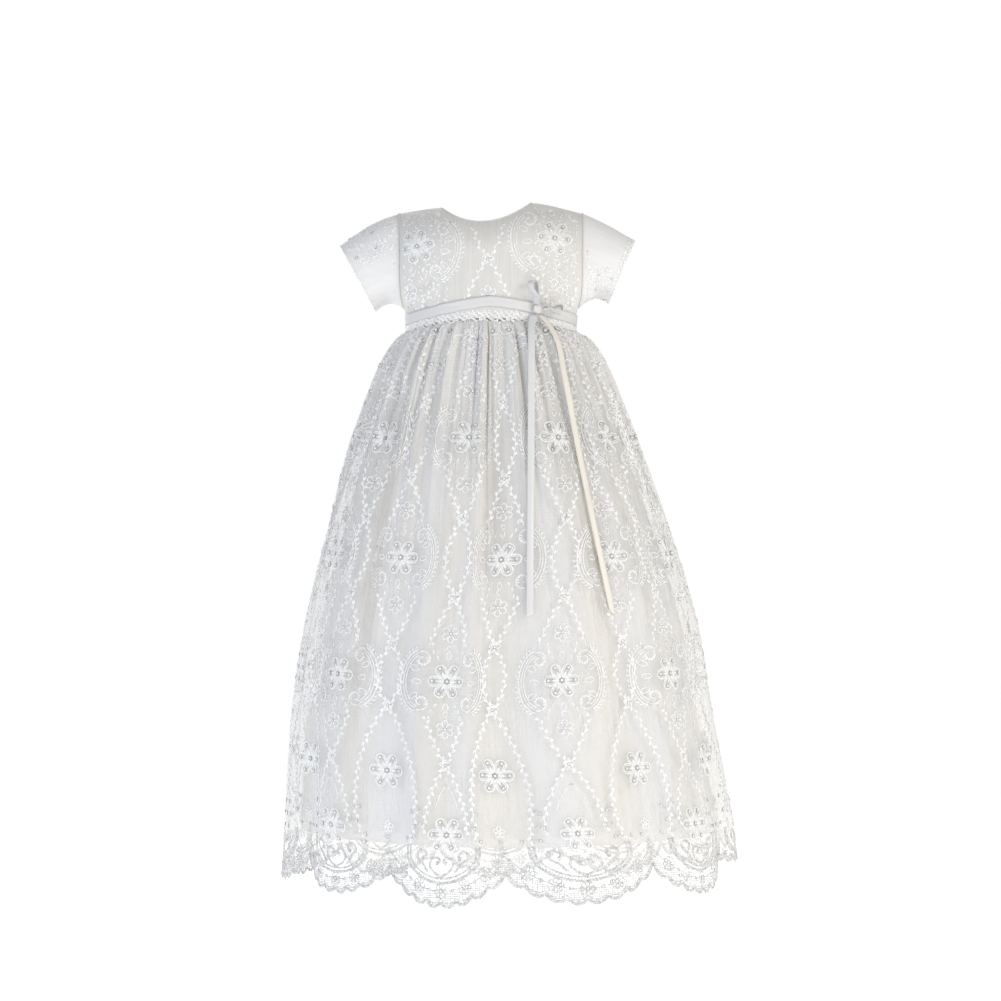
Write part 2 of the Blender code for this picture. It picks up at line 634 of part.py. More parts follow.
def add_loop(name, centre, normal, point, lean, length, half_width, width, turn, seat,
             material):
    """A bow loop: the ribbon leaves the knot, bends round and comes back. Its line reaches
    out as the sine of half a turn and spreads to both sides as the sine of a whole one."""
    flat = (Vector((1, 0, 0)) - normal * normal.x).normalized() * math.cos(math.radians(point))
    flat += Vector((0, 0, 1)) * math.sin(math.radians(point))
    level = flat.cross(normal).normalized()
    along = flat * math.cos(math.radians(lean)) + normal * math.sin(math.radians(lean))
    outward = level.cross(along).normalized()
    tilt = math.radians(turn)
    edge_way = np.array(outward * math.cos(tilt) + level * math.sin(tilt))
    side = np.array(level * math.cos(tilt) - outward * math.sin(tilt))
    start = np.array(centre + along * (KNOT_HALF[0] + seat))

    turned = np.linspace(0, np.pi, LOOP_STEPS + 1)[:, None]
    reach = length * np.sin(turned) ** 0.8
    spread = half_width * np.sin(2 * turned) * (0.35 + 0.65 * np.sin(turned))
    spread -= LOOP_ENDS / 2 * np.cos(turned)
    line = start + np.array(along) * reach + side * spread
    away = np.cross(edge_way, np.gradient(line, axis=0))
    away /= np.linalg.norm(away, axis=1, keepdims=True)
    if np.sum((line - line.mean(axis=0)) * away) < 0:
        away = -away
    low = edge_way * (LOOP_SINK - KNOT_HALF[1])
    edges = np.array([low, low + edge_way * width])[:, None, :]
    add_wall(name, line + edges, line - away * RIBBON_WALL + edges, material)


def skirt_tree(outer):
    """The net's outer faces, for laying the ribbon tails on them."""
    rings, columns = outer.shape[:2]
    points = [tuple(p) for p in outer.reshape(-1, 3)]
    faces = [(r * columns + c, r * columns + (c + 1) % columns,
              (r + 1) * columns + (c + 1) % columns, (r + 1) * columns + c)
             for r in range(rings - 1) for c in range(columns)]
    return BVHTree.FromPolygons(points, faces)


def add_tail(name, route, tree, cut, material):
    """A ribbon tail that hangs from the knot over the skirt's crests. Each cross line is
    turned like the skirt's front there and moved out until it clears the net and the belt.
    cut is how much longer the tail's outer edge is than its inner one."""
    lengths = np.cumsum(np.hypot(np.diff(route["x"]), np.diff(route["z"])))
    lengths = np.concatenate([[0], lengths])
    steps = np.concatenate([np.linspace(0, 0.03, 6)[:-1], np.linspace(0.03, lengths[-1], 20)])
    x = smooth_read(steps, lengths, route["x"])
    z = smooth_read(steps, lengths, route["z"])
    slope = FRONT_HALF_DEPTH / FRONT_HALF_WIDTH * x / np.sqrt(FRONT_HALF_WIDTH ** 2 - x ** 2)
    y = np.zeros(len(steps))
    for k in range(len(steps)):
        clear = [0.0]
        for across in np.linspace(-0.65, 0.65, 9) * TAIL_WIDTH:
            for rise in (-0.004, 0, 0.004):
                start = Vector((x[k] + across, -1, z[k] + rise))
                hit = tree.ray_cast(start, Vector((0, 1, 0)))[0]
                if hit is not None:
                    clear.append(hit.y - slope[k] * across)
        if z[k] > WAIST_FRONT_Z - RIBBON_WIDTH / 2:
            clear.append(front_of_belt(x[k], z[k])[0] - SEAM_GAP)
        y[k] = min(clear) - TAIL_CLEARANCE
    y = hang_over(z, y)
    edges = []
    for across in (-TAIL_WIDTH / 2, TAIL_WIDTH / 2):
        edge = np.stack([x + across, y + across * slope, z], axis=1)
        if across > 0:
            edge[-1, 2] -= cut
        edges.append(edge)
    inner = np.array(edges)
    add_wall(name, inner - np.array([0, RIBBON_WALL, 0]), inner, material)


def hang_over(z, y):
    """The line of a limp ribbon that rests on the crests: it never bends inwards
    between two points that hold it out."""
    hung = y.copy()
    for k in range(1, len(z) - 1):
        for low in range(k + 1, min(k + 5, len(z))):
            for high in range(max(0, k - 4), k):
                share = (z[k] - z[high]) / (z[low] - z[high])
                hung[k] = min(hung[k], y[high] + (y[low] - y[high]) * share)
    return hung


# --------------------------------------------------------------------- buttons
def add_buttons(material):
    """Domed buttons on the upper lap of the back opening, square to the cloth there."""
    turn = np.linspace(0, 2 * np.pi, BUTTON_SIDES, endpoint=False)[None, :, None]
    radius, height = np.array(BUTTON_OUTLINE).T[:, :, None, None]
    start = float(smooth_read(0.0, SHOULDER["place"], SHOULDER["z"])) - SHOULDER_ROLL
    for number, z in enumerate(BUTTON_LEVELS, start=1):
        roll = math.asin(max(0.0, (z - start) / SHOULDER_ROLL))
        normal = np.array([0, math.cos(roll), math.sin(roll)])
        upward = np.array([0, -math.sin(roll), math.cos(roll)])
        foot = np.array([bodice_x(0.0, z), bodice_depth(0.0, z, roll), z]) + normal * 2 * SEAM_GAP
        across = np.cos(turn) * np.array([1, 0, 0]) + np.sin(turn) * upward
        rings = foot + radius * BUTTON_RADIUS * across + height * BUTTON_HEIGHT * normal
        add_rounded(f"button_{number}", rings, foot, foot + normal * BUTTON_HEIGHT, material)


# ------------------------------------------------------------------------ gown
def main():
    for leftover in list(bpy.data.objects):
        bpy.data.objects.remove(leftover, do_unlink=True)
    lace = new_material("embroidered_net", (0.80, 0.79, 0.76), 0.75, 0.3)
    satin = new_material("ivory_lining", (0.78, 0.77, 0.74), 0.45, 0.1)
    ribbon = new_material("satin_ribbon", (0.86, 0.85, 0.82), 0.30)
    pearl = new_material("pearl_button", (0.88, 0.87, 0.84), 0.20)

    add_bodice(lace)
    for name, sizes in SLEEVES.items():
        add_sleeve(name, material=lace, **sizes)
    outer = add_skirt(lace, satin)
    add_belt(ribbon)
    centre, normal = add_knot(ribbon)
    for name, sizes in LOOPS.items():
        add_loop(name, centre, normal, material=ribbon, **sizes)
    tree = skirt_tree(outer)
    add_tail("ribbon_tail_straight", TAIL_STRAIGHT, tree, -0.003, ribbon)
    add_tail("ribbon_tail_slanted", TAIL_SLANTED, tree, 0.004, ribbon)
    add_buttons(pearl)


main()
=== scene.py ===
# %% [markdown]
# # A christening gown in white lace
#
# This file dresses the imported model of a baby's christening gown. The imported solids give
# every piece its true place and size, so nothing here is fitted by eye: the same short
# tables and formulas that shaped the solids are worked out again on much finer grids, and
# the cloth, thread, sequins and ribbon are laid on them.
#
# A gown could also be made with a cloth simulation. It is worked out by formula here, for
# two reasons. The embroidery has to follow the cloth exactly, which is easy when the cloth
# is a function of two numbers, and the folds should fall where the real gown has them.

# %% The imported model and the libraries
import json

import bpy
import numpy as np
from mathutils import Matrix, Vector
from mathutils.bvhtree import BVHTree

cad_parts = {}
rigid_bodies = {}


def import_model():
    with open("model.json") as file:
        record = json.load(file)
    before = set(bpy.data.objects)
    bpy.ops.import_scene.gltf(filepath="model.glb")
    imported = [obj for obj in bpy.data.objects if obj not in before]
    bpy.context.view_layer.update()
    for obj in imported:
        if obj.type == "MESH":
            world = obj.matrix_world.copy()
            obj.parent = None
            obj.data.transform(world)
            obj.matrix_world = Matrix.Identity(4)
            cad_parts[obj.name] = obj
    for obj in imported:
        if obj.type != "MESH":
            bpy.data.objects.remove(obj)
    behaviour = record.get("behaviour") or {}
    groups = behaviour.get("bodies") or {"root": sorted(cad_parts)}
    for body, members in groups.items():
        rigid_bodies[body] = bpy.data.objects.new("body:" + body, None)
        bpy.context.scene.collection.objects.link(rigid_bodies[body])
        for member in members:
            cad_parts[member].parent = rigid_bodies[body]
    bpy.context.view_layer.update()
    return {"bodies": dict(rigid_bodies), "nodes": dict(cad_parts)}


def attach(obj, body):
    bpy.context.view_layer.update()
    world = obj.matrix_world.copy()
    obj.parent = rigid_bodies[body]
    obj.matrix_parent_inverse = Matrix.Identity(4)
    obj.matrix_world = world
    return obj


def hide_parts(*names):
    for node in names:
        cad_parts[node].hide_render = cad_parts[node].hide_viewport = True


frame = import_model()
BODY = next(iter(frame["bodies"]))
print("body:", BODY, "nodes:", len(frame["nodes"]))

# %% [markdown]
# ## Reading a cut from a short table
#
# A dressmaker writes down a few measures at a few levels and draws a smooth line through
# them. The helper below does that with a cubic Hermite curve: it passes through every row
# of the table, and its slope at a row comes from the two rows beside it. Straight lines
# between the rows would show as creases, and a spline through control points would not
# pass through the measures.


# %% Smooth curves through measures
def table(columns, rows):
    """A short table as a dictionary of arrays, one for each named column."""
    return dict(zip(columns.split(), np.array(rows, float).T))


def smooth_read(at, xs, ys):
    """Reads ys at any x: on each span a cubic that has the rows' values and the slopes
    of the lines through their neighbours."""
    at = np.clip(np.asarray(at, float), xs[0], xs[-1])
    slopes = np.gradient(ys, xs)
    k = np.clip(np.searchsorted(xs, at) - 1, 0, len(xs) - 2)
    width = xs[k + 1] - xs[k]
    t = (at - xs[k]) / width
    return ((1 + 2 * t) * (1 - t) ** 2 * ys[k] + t * (1 - t) ** 2 * width * slopes[k]
            + t ** 2 * (3 - 2 * t) * ys[k + 1] + t ** 2 * (t - 1) * width * slopes[k + 1])


def ease(t):
    """0 to 1 with a level start and end: three t squared minus two t cubed."""
    t = np.clip(t, 0.0, 1.0)
    return t * t * (3 - 2 * t)


def unit(vectors):
    """The same directions with length 1."""
    length = np.linalg.norm(vectors, axis=-1, keepdims=True)
    return vectors / np.maximum(length, 1e-12)


# %% [markdown]
# ## The gown's measures
#
# All sizes are in metres. Z points up from the shoulders, the front faces -Y, and angles
# round the body are in degrees from the centre front. The net of the skirt has a scalloped
# border, and one scallop is the unit along the cloth: cloth 0 is the left side seam, and
# cloth 11 comes back to it.

# %% Measures of the bodice and the sleeves
SEAM_GAP = 0.0003
WAIST_HALF_WIDTH = 0.0845
WAIST_HALF_DEPTH = 0.0620
WAIST_FRONT_Z = -0.1155
WAIST_SIDE_DROP = 0.0105
UNDERARM_Z = -0.103
ARMHOLE_TOP_Z = -0.0085
ARMHOLE_HALF_DEPTH = 0.034
SHOULDER_ROLL = 0.045
NECK_SHIFT = -0.006
NECK_TURNS = dict(front=46, back=38, underlap=40)
NECK_SQUARENESS = 3.0
LAP_X = 0.0060

BODICE = table("z half_width half_depth edge_power", [
    (-0.1300, 0.0842, 0.0618, 0.50),
    (-0.1155, 0.0846, 0.0622, 0.50),
    (-0.1030, 0.0870, 0.0632, 0.52),
    (-0.0930, 0.0893, 0.0640, 0.62),
    (-0.0750, 0.0905, 0.0648, 0.72),
    (-0.0500, 0.0905, 0.0645, 0.75),
    (-0.0080, 0.0908, 0.0640, 0.75),
    (0.0100, 0.0908, 0.0640, 0.75),
])
SHOULDER = table("place z", [
    (-1.0, -0.0085),
    (-0.5, -0.0030),
    (0.0, -0.0055),
    (0.5, 0.0018),
    (1.0, -0.0085),
])
SLEEVES = {
    "sleeve_left": dict(side=-1, cuff_top=(-0.151, -0.041), cuff_bottom=(-0.1155, -0.1065),
                        cuff_half_depth=0.0255, crown=0.0035, arch=0.0050),
    "sleeve_right": dict(side=1, cuff_top=(0.142, -0.035), cuff_bottom=(0.1170, -0.0980),
                         cuff_half_depth=0.0245, crown=0.0015, arch=0.0060),
}
SLEEVE_FULLNESS = 0.05

# %% Measures of the skirt
SCALLOPS = 11
FRONT_SCALLOPS = 6
SCALLOP_WIDTH = 0.142       # of the flat cloth, from notch to notch
GATHERS_PER_SCALLOP = 4
SKIRT_DROP = 0.512
SKIRT_END_Z = -0.620
WAIST_START = -96.0
LOBES = 8                   # small lobes on the edge of one scallop
LOBE_DEPTH = 0.0032
LINING_HEM_Z = -0.629
LINING_SIDE_RISE = 0.008
NET_WALL = 0.0013
LINING_ROOM = 0.0026
GATHER_ROOM = 3.1           # times the gather depth that the lining keeps clear
CRINKLE = 0.32              # depth of the fine crinkle, as a share of the gathers' depth
CRINKLES_PER_GATHER = 3

SKIRT = table("below left right front back gather bare_side", [
    (0.000, 0.0843, 0.0843, 0.0618, 0.0618, 0.0008, 0.0037),
    (0.006, 0.0935, 0.0960, 0.0700, 0.0690, 0.0014, 0.0068),
    (0.018, 0.1035, 0.1075, 0.0800, 0.0780, 0.0024, 0.0115),
    (0.040, 0.1155, 0.1195, 0.0895, 0.0880, 0.0029, 0.0150),
    (0.075, 0.1285, 0.1335, 0.0995, 0.0990, 0.0026, 0.0165),
    (0.125, 0.1455, 0.1520, 0.1130, 0.1130, 0.0018, 0.0170),
    (0.195, 0.1640, 0.1770, 0.1300, 0.1310, 0.0010, 0.0170),
    (0.290, 0.1860, 0.2060, 0.1500, 0.1510, 0.0005, 0.0165),
    (0.395, 0.2020, 0.2240, 0.1690, 0.1700, 0.0002, 0.0160),
    (0.512, 0.2085, 0.2450, 0.1850, 0.1860, 0.0000, 0.0160),
    (0.580, 0.2130, 0.2525, 0.1890, 0.1900, 0.0000, 0.0160),
])
HEM = table("angle notch_z depth", [
    (-95.5, -0.6380, 0.0270),
    (-64.5, -0.6430, 0.0268),
    (-32.0, -0.6500, 0.0320),
    (-1.2, -0.6535, 0.0300),
    (39.0, -0.6470, 0.0300),
    (69.9, -0.6440, 0.0100),
    (102.3, -0.6350, 0.0240),
    (134.8, -0.6470, 0.0290),
    (167.2, -0.6530, 0.0310),
    (199.6, -0.6530, 0.0310),
    (232.1, -0.6460, 0.0290),
])
FOLDS = table("top_angle end_angle start end half_width depth", [
    (-33, -27, 0.020, 0.130, 0.0060, 0.0040),
    (-13, -15, 0.008, 0.150, 0.0060, 0.0045),
    (2.5, -4, 0.006, 0.300, 0.0075, 0.0065),
    (13, 14, 0.006, 0.070, 0.0050, 0.0035),
    (31, 27, 0.010, 0.190, 0.0060, 0.0045),
    (42, 30, 0.030, 0.330, 0.0080, 0.0055),
    (58, 60, 0.020, 0.260, 0.0080, 0.0045),
    (80, 83, 0.030, 0.330, 0.0090, 0.0050),
    (108, 104, 0.015, 0.240, 0.0080, 0.0050),
    (129, 133, 0.010, 0.350, 0.0090, 0.0060),
    (151, 149, 0.020, 0.180, 0.0070, 0.0045),
    (176, 172, 0.008, 0.320, 0.0085, 0.0065),
    (197, 201, 0.020, 0.210, 0.0070, 0.0045),
    (221, 217, 0.010, 0.300, 0.0085, 0.0055),
    (243, 246, 0.025, 0.260, 0.0080, 0.0050),
    (-86, -84, 0.020, 0.300, 0.0085, 0.0050),
    (-62, -66, 0.015, 0.250, 0.0080, 0.0050),
    (-47, -44, 0.060, 0.400, 0.0085, 0.0045),
])
HEM_WAVE_DEPTH = 0.0085
HEM_RIPPLE_DEPTH = 0.0030
HEM_WAVE_START = 0.10
HEM_WAVE_RUN = 0.38
FOLD_ONSET = 0.04
FOLD_TAPER = 0.4
print("skirt:", SCALLOPS, "scallops,", round(SCALLOPS * SCALLOP_WIDTH, 2), "m of net round the hem")

# %% [markdown]
# ## Cloth as a function of two numbers
#
# Every panel below is a function that takes two numbers, one across the cloth and one
# down it, and gives a point in space. Whole grids of these numbers go in at once, so numpy
# does the work and no loop runs over the points. The same function then carries the
# embroidery: a thread's place in the flat cloth goes in, and its place on the gown comes
# out, however the cloth is folded there.


# %% The bodice as a function
def waist_z(angle):
    """Height of the waist seam: lower at the sides by the square of the sine."""
    return WAIST_FRONT_Z - WAIST_SIDE_DROP * np.sin(np.radians(angle)) ** 2


def armhole_depth(z):
    """Half depth of the oval armhole at a level, 0 above and below it."""
    middle = (UNDERARM_Z + ARMHOLE_TOP_Z) / 2
    half = (ARMHOLE_TOP_Z - UNDERARM_Z) / 2
    return ARMHOLE_HALF_DEPTH * np.sqrt(np.clip(1 - ((z - middle) / half) ** 2, 0, 1))


def bodice_depth(place, z, roll):
    """Distance of the cloth from the plane of the side seams. place runs from -1 to 1 over
    the width; roll is the turn over the shoulder, whose cosine takes the depth to 0."""
    reach = smooth_read(z, BODICE["z"], BODICE["half_depth"]) * np.cos(roll)
    power = smooth_read(z, BODICE["z"], BODICE["edge_power"])
    edge = armhole_depth(z)
    return edge + np.maximum(reach - edge, 0) * np.clip(1 - place ** 2, 0, 1) ** power


def bodice_x(place, z):
    """X of a place over the width; the neck's middle lies a little to one side."""
    half_width = smooth_read(z, BODICE["z"], BODICE["half_width"])
    shift = NECK_SHIFT * ease((z - UNDERARM_Z) / (ARMHOLE_TOP_Z - UNDERARM_Z))
    return place * half_width + shift * (1 - place ** 2)


def bodice_point(place, share, facing, neck_turn):
    """Point of a bodice panel. share is 0 at the waist, 1 where the shoulder roll starts
    and 2 at the neckline or shoulder seam."""
    waist = WAIST_FRONT_Z - WAIST_SIDE_DROP * place ** 2
    start = smooth_read(place, SHOULDER["place"], SHOULDER["z"]) - SHOULDER_ROLL
    in_neck = np.sqrt(np.clip(1 - np.abs(2 * place) ** NECK_SQUARENESS, 0, 1))
    roll = np.radians(np.clip(share - 1, 0, 1) * (90 - neck_turn * in_neck))
    z = waist + (start - waist) * np.clip(share, 0, 1) + SHOULDER_ROLL * np.sin(roll)
    y = facing * np.maximum(bodice_depth(place, z, roll), SEAM_GAP / 2)
    return np.stack([bodice_x(place, z), y, z], axis=-1)


def bodice_share(place, z):
    """The share at which a panel reaches a height, for placing what is sewn on it."""
    waist = WAIST_FRONT_Z - WAIST_SIDE_DROP * place ** 2
    start = smooth_read(place, SHOULDER["place"], SHOULDER["z"]) - SHOULDER_ROLL
    in_neck = np.sqrt(np.clip(1 - np.abs(2 * place) ** NECK_SQUARENESS, 0, 1))
    roll = np.degrees(np.arcsin(np.clip((z - start) / SHOULDER_ROLL, 0, 1)))
    low = np.clip((z - waist) / (start - waist), 0, 1)
    return low + np.clip(roll / (90 - NECK_TURNS["front"] * in_neck), 0, 1)


# %% The sleeve as a function
def sleeve_point(turn, along, side, cuff_top, cuff_bottom, cuff_half_depth, crown, arch):
    """Point of a set-in sleeve: a straight blend from the oval armhole (along 0) to the
    cuff's ellipse (along 1), raised over the crown and the underarm by a half sine."""
    up, back = np.cos(turn), np.sin(turn)
    middle = (UNDERARM_Z + ARMHOLE_TOP_Z) / 2
    half = (ARMHOLE_TOP_Z - UNDERARM_Z) / 2
    root_z = middle + half * up
    root_x = side * (smooth_read(root_z, BODICE["z"], BODICE["half_width"]) + 2 * SEAM_GAP)
    top, bottom = np.array(cuff_top), np.array(cuff_bottom)
    centre, arm = (top + bottom) / 2, (top - bottom) / 2
    swell = np.sin(np.pi * along)
    x = root_x + (centre[0] + arm[0] * up - root_x) * along
    y = (ARMHOLE_HALF_DEPTH + (cuff_half_depth - ARMHOLE_HALF_DEPTH) * along) * back
    z = root_z + (centre[1] + arm[1] * up - root_z) * along
    z = z + swell * np.where(up > 0, crown, arch) * np.abs(up)
    return np.stack([x, y * (1 + SLEEVE_FULLNESS * swell), z], axis=-1)


# %% The skirt as a function
def hem_angle(cloth):
    """Where the cloth hangs at the hem, in degrees; cloth counts scallops."""
    angles = HEM["angle"]
    places = np.concatenate([angles[-1:] - 360, angles, angles[:2] + 360])
    return smooth_read(cloth, np.arange(-1.0, SCALLOPS + 2), places)


def waist_angle(cloth):
    """Where the cloth is sewn to the waist, in gathers of uneven width."""
    uneven = 0.9 * np.sin(5.3 * cloth) + 0.6 * np.sin(11.9 * cloth + 1.0)
    settle = ease(4 * np.minimum(cloth, SCALLOPS - cloth))
    return WAIST_START + 360 * cloth / SCALLOPS + uneven * settle


def cloth_angle(cloth, below):
    """Where a thread that runs down the cloth hangs at a level below the waist."""
    share = ease(below / (0.9 * SKIRT_DROP))
    return waist_angle(cloth) + (hem_angle(cloth) - waist_angle(cloth)) * share


def skirt_section(angle, below):
    """Point of the skirt's plain tube: an ellipse whose four half sizes come from the
    table."""
    turn = np.radians(angle)
    left, right, front, back = (smooth_read(below, SKIRT["below"], SKIRT[side])
                                for side in ("left", "right", "front", "back"))
    x = (right - left) / 2 + (left + right) / 2 * np.sin(turn)
    y = (back - front) / 2 - (front + back) / 2 * np.cos(turn)
    stretch = (waist_z(angle) - SKIRT_END_Z) / SKIRT_DROP
    return np.stack([x, y, waist_z(angle) - SEAM_GAP - below * stretch], axis=-1)


def gather_depth(cloth, below):
    """The gathers: 0 on a crest and growing inwards as one minus a cosine, with a finer
    crinkle of three waves to a gather on top."""
    size = smooth_read(below, SKIRT["below"], SKIRT["gather"])
    number = np.round(cloth * GATHERS_PER_SCALLOP)
    uneven = 1 + 0.30 * np.sin(2.4 * number) + 0.15 * np.sin(5.1 * number + 0.7)
    wave = 1 - np.cos(2 * np.pi * GATHERS_PER_SCALLOP * cloth)
    turn = 2 * np.pi * CRINKLES_PER_GATHER * GATHERS_PER_SCALLOP * cloth
    crinkle = 1 - np.cos(turn + 2.0 * np.sin(7.0 * cloth))
    return size * (uneven * wave + CRINKLE * crinkle)


def long_folds(cloth, below):
    """Long folds, growing inwards. A fold's depth falls off as a bell on both sides of
    its line."""
    angle = cloth_angle(cloth, below)
    radius = 0.07 + 0.26 * below
    total = np.zeros(np.broadcast(cloth, below).shape)
    for top_angle, end_angle, start, end, half_width, depth in zip(*FOLDS.values()):
        share = np.clip((below - start) / (end - start), 0, 1)
        line = top_angle + (end_angle - top_angle) * share
        off = np.radians((angle - line + 180) % 360 - 180) * radius
        onset = ease((below - start + FOLD_ONSET / 2) / FOLD_ONSET)
        taper = 1 - ease((below - (1 - FOLD_TAPER) * end) / (FOLD_TAPER * end))
        total += depth * np.exp(-(off / half_width) ** 2) * onset * taper
    return total


def fold_depth(cloth, below):
    """Long folds and the soft waves of the hem, which are cosines over each scallop."""
    total = long_folds(cloth, below)
    low = ease((below - HEM_WAVE_START) / HEM_WAVE_RUN)
    total += HEM_WAVE_DEPTH * low * (1 + np.cos(2 * np.pi * cloth)) / 2
    total += HEM_RIPPLE_DEPTH * low * (1 + np.sin(4 * np.pi * cloth + 1.1)) / 2
    return total


def lining_inset(cloth, below):
    """How far the lining stands in from the net: close in front, bare at the sides."""
    room = GATHER_ROOM + 2 * CRINKLE
    gathers = room * smooth_read(below, SKIRT["below"], SKIRT["gather"])
    close = NET_WALL + 3 * SEAM_GAP + gathers + LINING_ROOM * ease(below / 0.04)
    bare = smooth_read(below, SKIRT["below"], SKIRT["bare_side"])
    side = np.abs(np.sin(np.radians(cloth_angle(cloth, below)))) ** 3
    return close + np.maximum(bare - close, 0) * side


def skirt_point(cloth, below, inset):
    """Point of a skirt layer: the plain tube, moved inwards along its normal by the folds
    and by what inset gives."""
    cloth, below = np.broadcast_arrays(np.asarray(cloth, float), np.asarray(below, float))
    angle = cloth_angle(cloth, below)
    across = skirt_section(angle + 0.3, below) - skirt_section(angle - 0.3, below)
    down = skirt_section(angle, below + 0.001) - skirt_section(angle, np.maximum(below - 0.001, 0))
    normal = np.cross(down, across)
    normal[..., 2] *= ease(below / 0.006)
    depth = fold_depth(cloth, below) + inset(cloth, below)
    return skirt_section(angle, below) - unit(normal) * depth[..., None]


def below_of(cloth, z):
    """How far below the waist a height lies, in the table's own measure."""
    below = np.full(np.broadcast(cloth, z).shape, SKIRT_DROP)
    for _ in range(2):
        waist = waist_z(cloth_angle(cloth, below))
        below = (waist - SEAM_GAP - z) * SKIRT_DROP / (waist - SKIRT_END_Z)
    return np.maximum(below, 0)


def notch_line(cloth):
    """Height of the line through the notches between the scallops."""
    share, start = cloth % 1.0, np.floor(cloth).astype(int) % SCALLOPS
    return HEM["notch_z"][start] * (1 - share) + HEM["notch_z"][(start + 1) % SCALLOPS] * share


def scallop_hem(cloth):
    """Hem line: a round scallop hanging from the notch line, edged with small lobes."""
    share, start = cloth % 1.0, np.floor(cloth).astype(int) % SCALLOPS
    scallop = HEM["depth"][start] * np.sin(np.pi * share) ** 0.75
    return notch_line(cloth) - scallop - LOBE_DEPTH * np.abs(np.sin(np.pi * LOBES * share))


# %% [markdown]
# ## From arrays to meshes
#
# A grid of points becomes a mesh in one step: the points go in with foreach_set, and the
# faces are the grid's squares, worked out as whole arrays too. Each vertex also gets a UV,
# measured in metres of flat cloth, so that a weave keeps its real size wherever the cloth
# is gathered.


# %% Mesh helpers
def mesh_from_arrays(name, points, faces, uv=None, material_index=None):
    """A mesh from points (n, 3) and faces (m, 3 or 4), with smooth shading. uv has one
    row for each point."""
    points, faces = np.asarray(points, np.float32), np.asarray(faces, np.int32)
    mesh = bpy.data.meshes.new(name)
    mesh.vertices.add(len(points))
    mesh.vertices.foreach_set("co", points.ravel())
    mesh.loops.add(faces.size)
    mesh.loops.foreach_set("vertex_index", faces.ravel())
    mesh.polygons.add(len(faces))
    sides = faces.shape[1]
    mesh.polygons.foreach_set("loop_start", np.arange(0, faces.size, sides, dtype=np.int32))
    mesh.polygons.foreach_set("loop_total", np.full(len(faces), sides, np.int32))
    mesh.polygons.foreach_set("use_smooth", np.ones(len(faces), bool))
    if material_index is not None:
        mesh.polygons.foreach_set("material_index", np.asarray(material_index, np.int32))
    if uv is not None:
        layer = mesh.uv_layers.new(name="UVMap")
        layer.data.foreach_set("uv", np.asarray(uv, np.float32)[faces.ravel()].ravel())
    mesh.update()
    mesh.validate()
    return mesh


def grid_faces(rows, columns, closed):
    """The squares of a grid whose points run along the columns first. Seen from outside
    with the rows running down and the columns to the right, they turn anticlockwise."""
    spans = columns if closed else columns - 1
    r, c = np.meshgrid(np.arange(rows - 1), np.arange(spans), indexing="ij")
    right = (c + 1) % columns
    corners = [(r + 1) * columns + c, (r + 1) * columns + right, r * columns + right,
               r * columns + c]
    return np.stack(corners, axis=-1).reshape(-1, 4)


def add_piece(name, mesh, materials, replaced=()):
    """A piece of the gown: an object at the origin that rides on the gown's body."""
    piece = bpy.data.objects.new(name, mesh)
    bpy.context.scene.collection.objects.link(piece)
    for material in materials:
        mesh.materials.append(material)
    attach(piece, BODY)
    if replaced:
        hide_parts(*replaced)
    return piece


def add_sheet(name, grid, uv, material, replaced=(), wall=0.0008, closed=False):
    """A sheet of cloth from a grid of points (rows, columns, xyz), given its thickness on
    the inside by a Solidify modifier."""
    rows, columns = grid.shape[:2]
    mesh = mesh_from_arrays(name, grid.reshape(-1, 3), grid_faces(rows, columns, closed),
                            uv.reshape(-1, 2))
    piece = add_piece(name, mesh, [material], replaced)
    solid = piece.modifiers.new("cloth wall", "SOLIDIFY")
    solid.thickness = wall
    solid.offset = -1
    return piece


# %% [markdown]
# ## Camera, light and floor
#
# The gown is white on white, so the light does most of the work. A wide warm light from
# the right and a weaker cool one from the left turn the folds from cream to blue-grey. The
# world is pure white only for the camera, through a Light Path node in the world's own
# tree, and dimmer for everything else, so that the cloth keeps some shade. The lens is
# worked out from the distance and from the width of the view at the gown.

# %% Camera
CAMERA_PLACE = (0.0095, -4.5, -0.2955)
VIEW_WIDTH = 1.001          # metres across the picture, at the gown's middle plane
SENSOR = 36.0

camera_data = bpy.data.cameras.new("camera")
camera_data.sensor_width = SENSOR
camera_data.lens = SENSOR * -CAMERA_PLACE[1] / VIEW_WIDTH
camera = bpy.data.objects.new("camera", camera_data)
camera.location = CAMERA_PLACE
camera.rotation_euler = (np.pi / 2, 0, 0)
bpy.context.scene.collection.objects.link(camera)
bpy.context.scene.camera = camera
print("lens:", round(camera_data.lens, 1), "mm")


# %% Lights and world
def add_light(name, place, target, size, power, colour):
    """A square area light at place, turned towards target."""
    data = bpy.data.lights.new(name, "AREA")
    data.shape = "SQUARE"
    data.size = size
    data.energy = power
    data.color = colour
    light = bpy.data.objects.new(name, data)
    light.location = place
    aim = Vector(target) - Vector(place)
    light.rotation_euler = aim.to_track_quat("-Z", "Y").to_euler()
    bpy.context.scene.collection.objects.link(light)
    return light


GOWN_MIDDLE = (0.0, 0.0, -0.33)
add_light("key", (2.6, -2.4, 0.9), GOWN_MIDDLE, 1.6, 50, (1.0, 0.955, 0.87))
add_light("fill", (-2.6, -2.2, 0.3), GOWN_MIDDLE, 2.4, 26, (0.72, 0.82, 1.0))
add_light("back", (-0.8, 3.0, 0.8), GOWN_MIDDLE, 2.4, 34, (1.0, 0.98, 0.95))

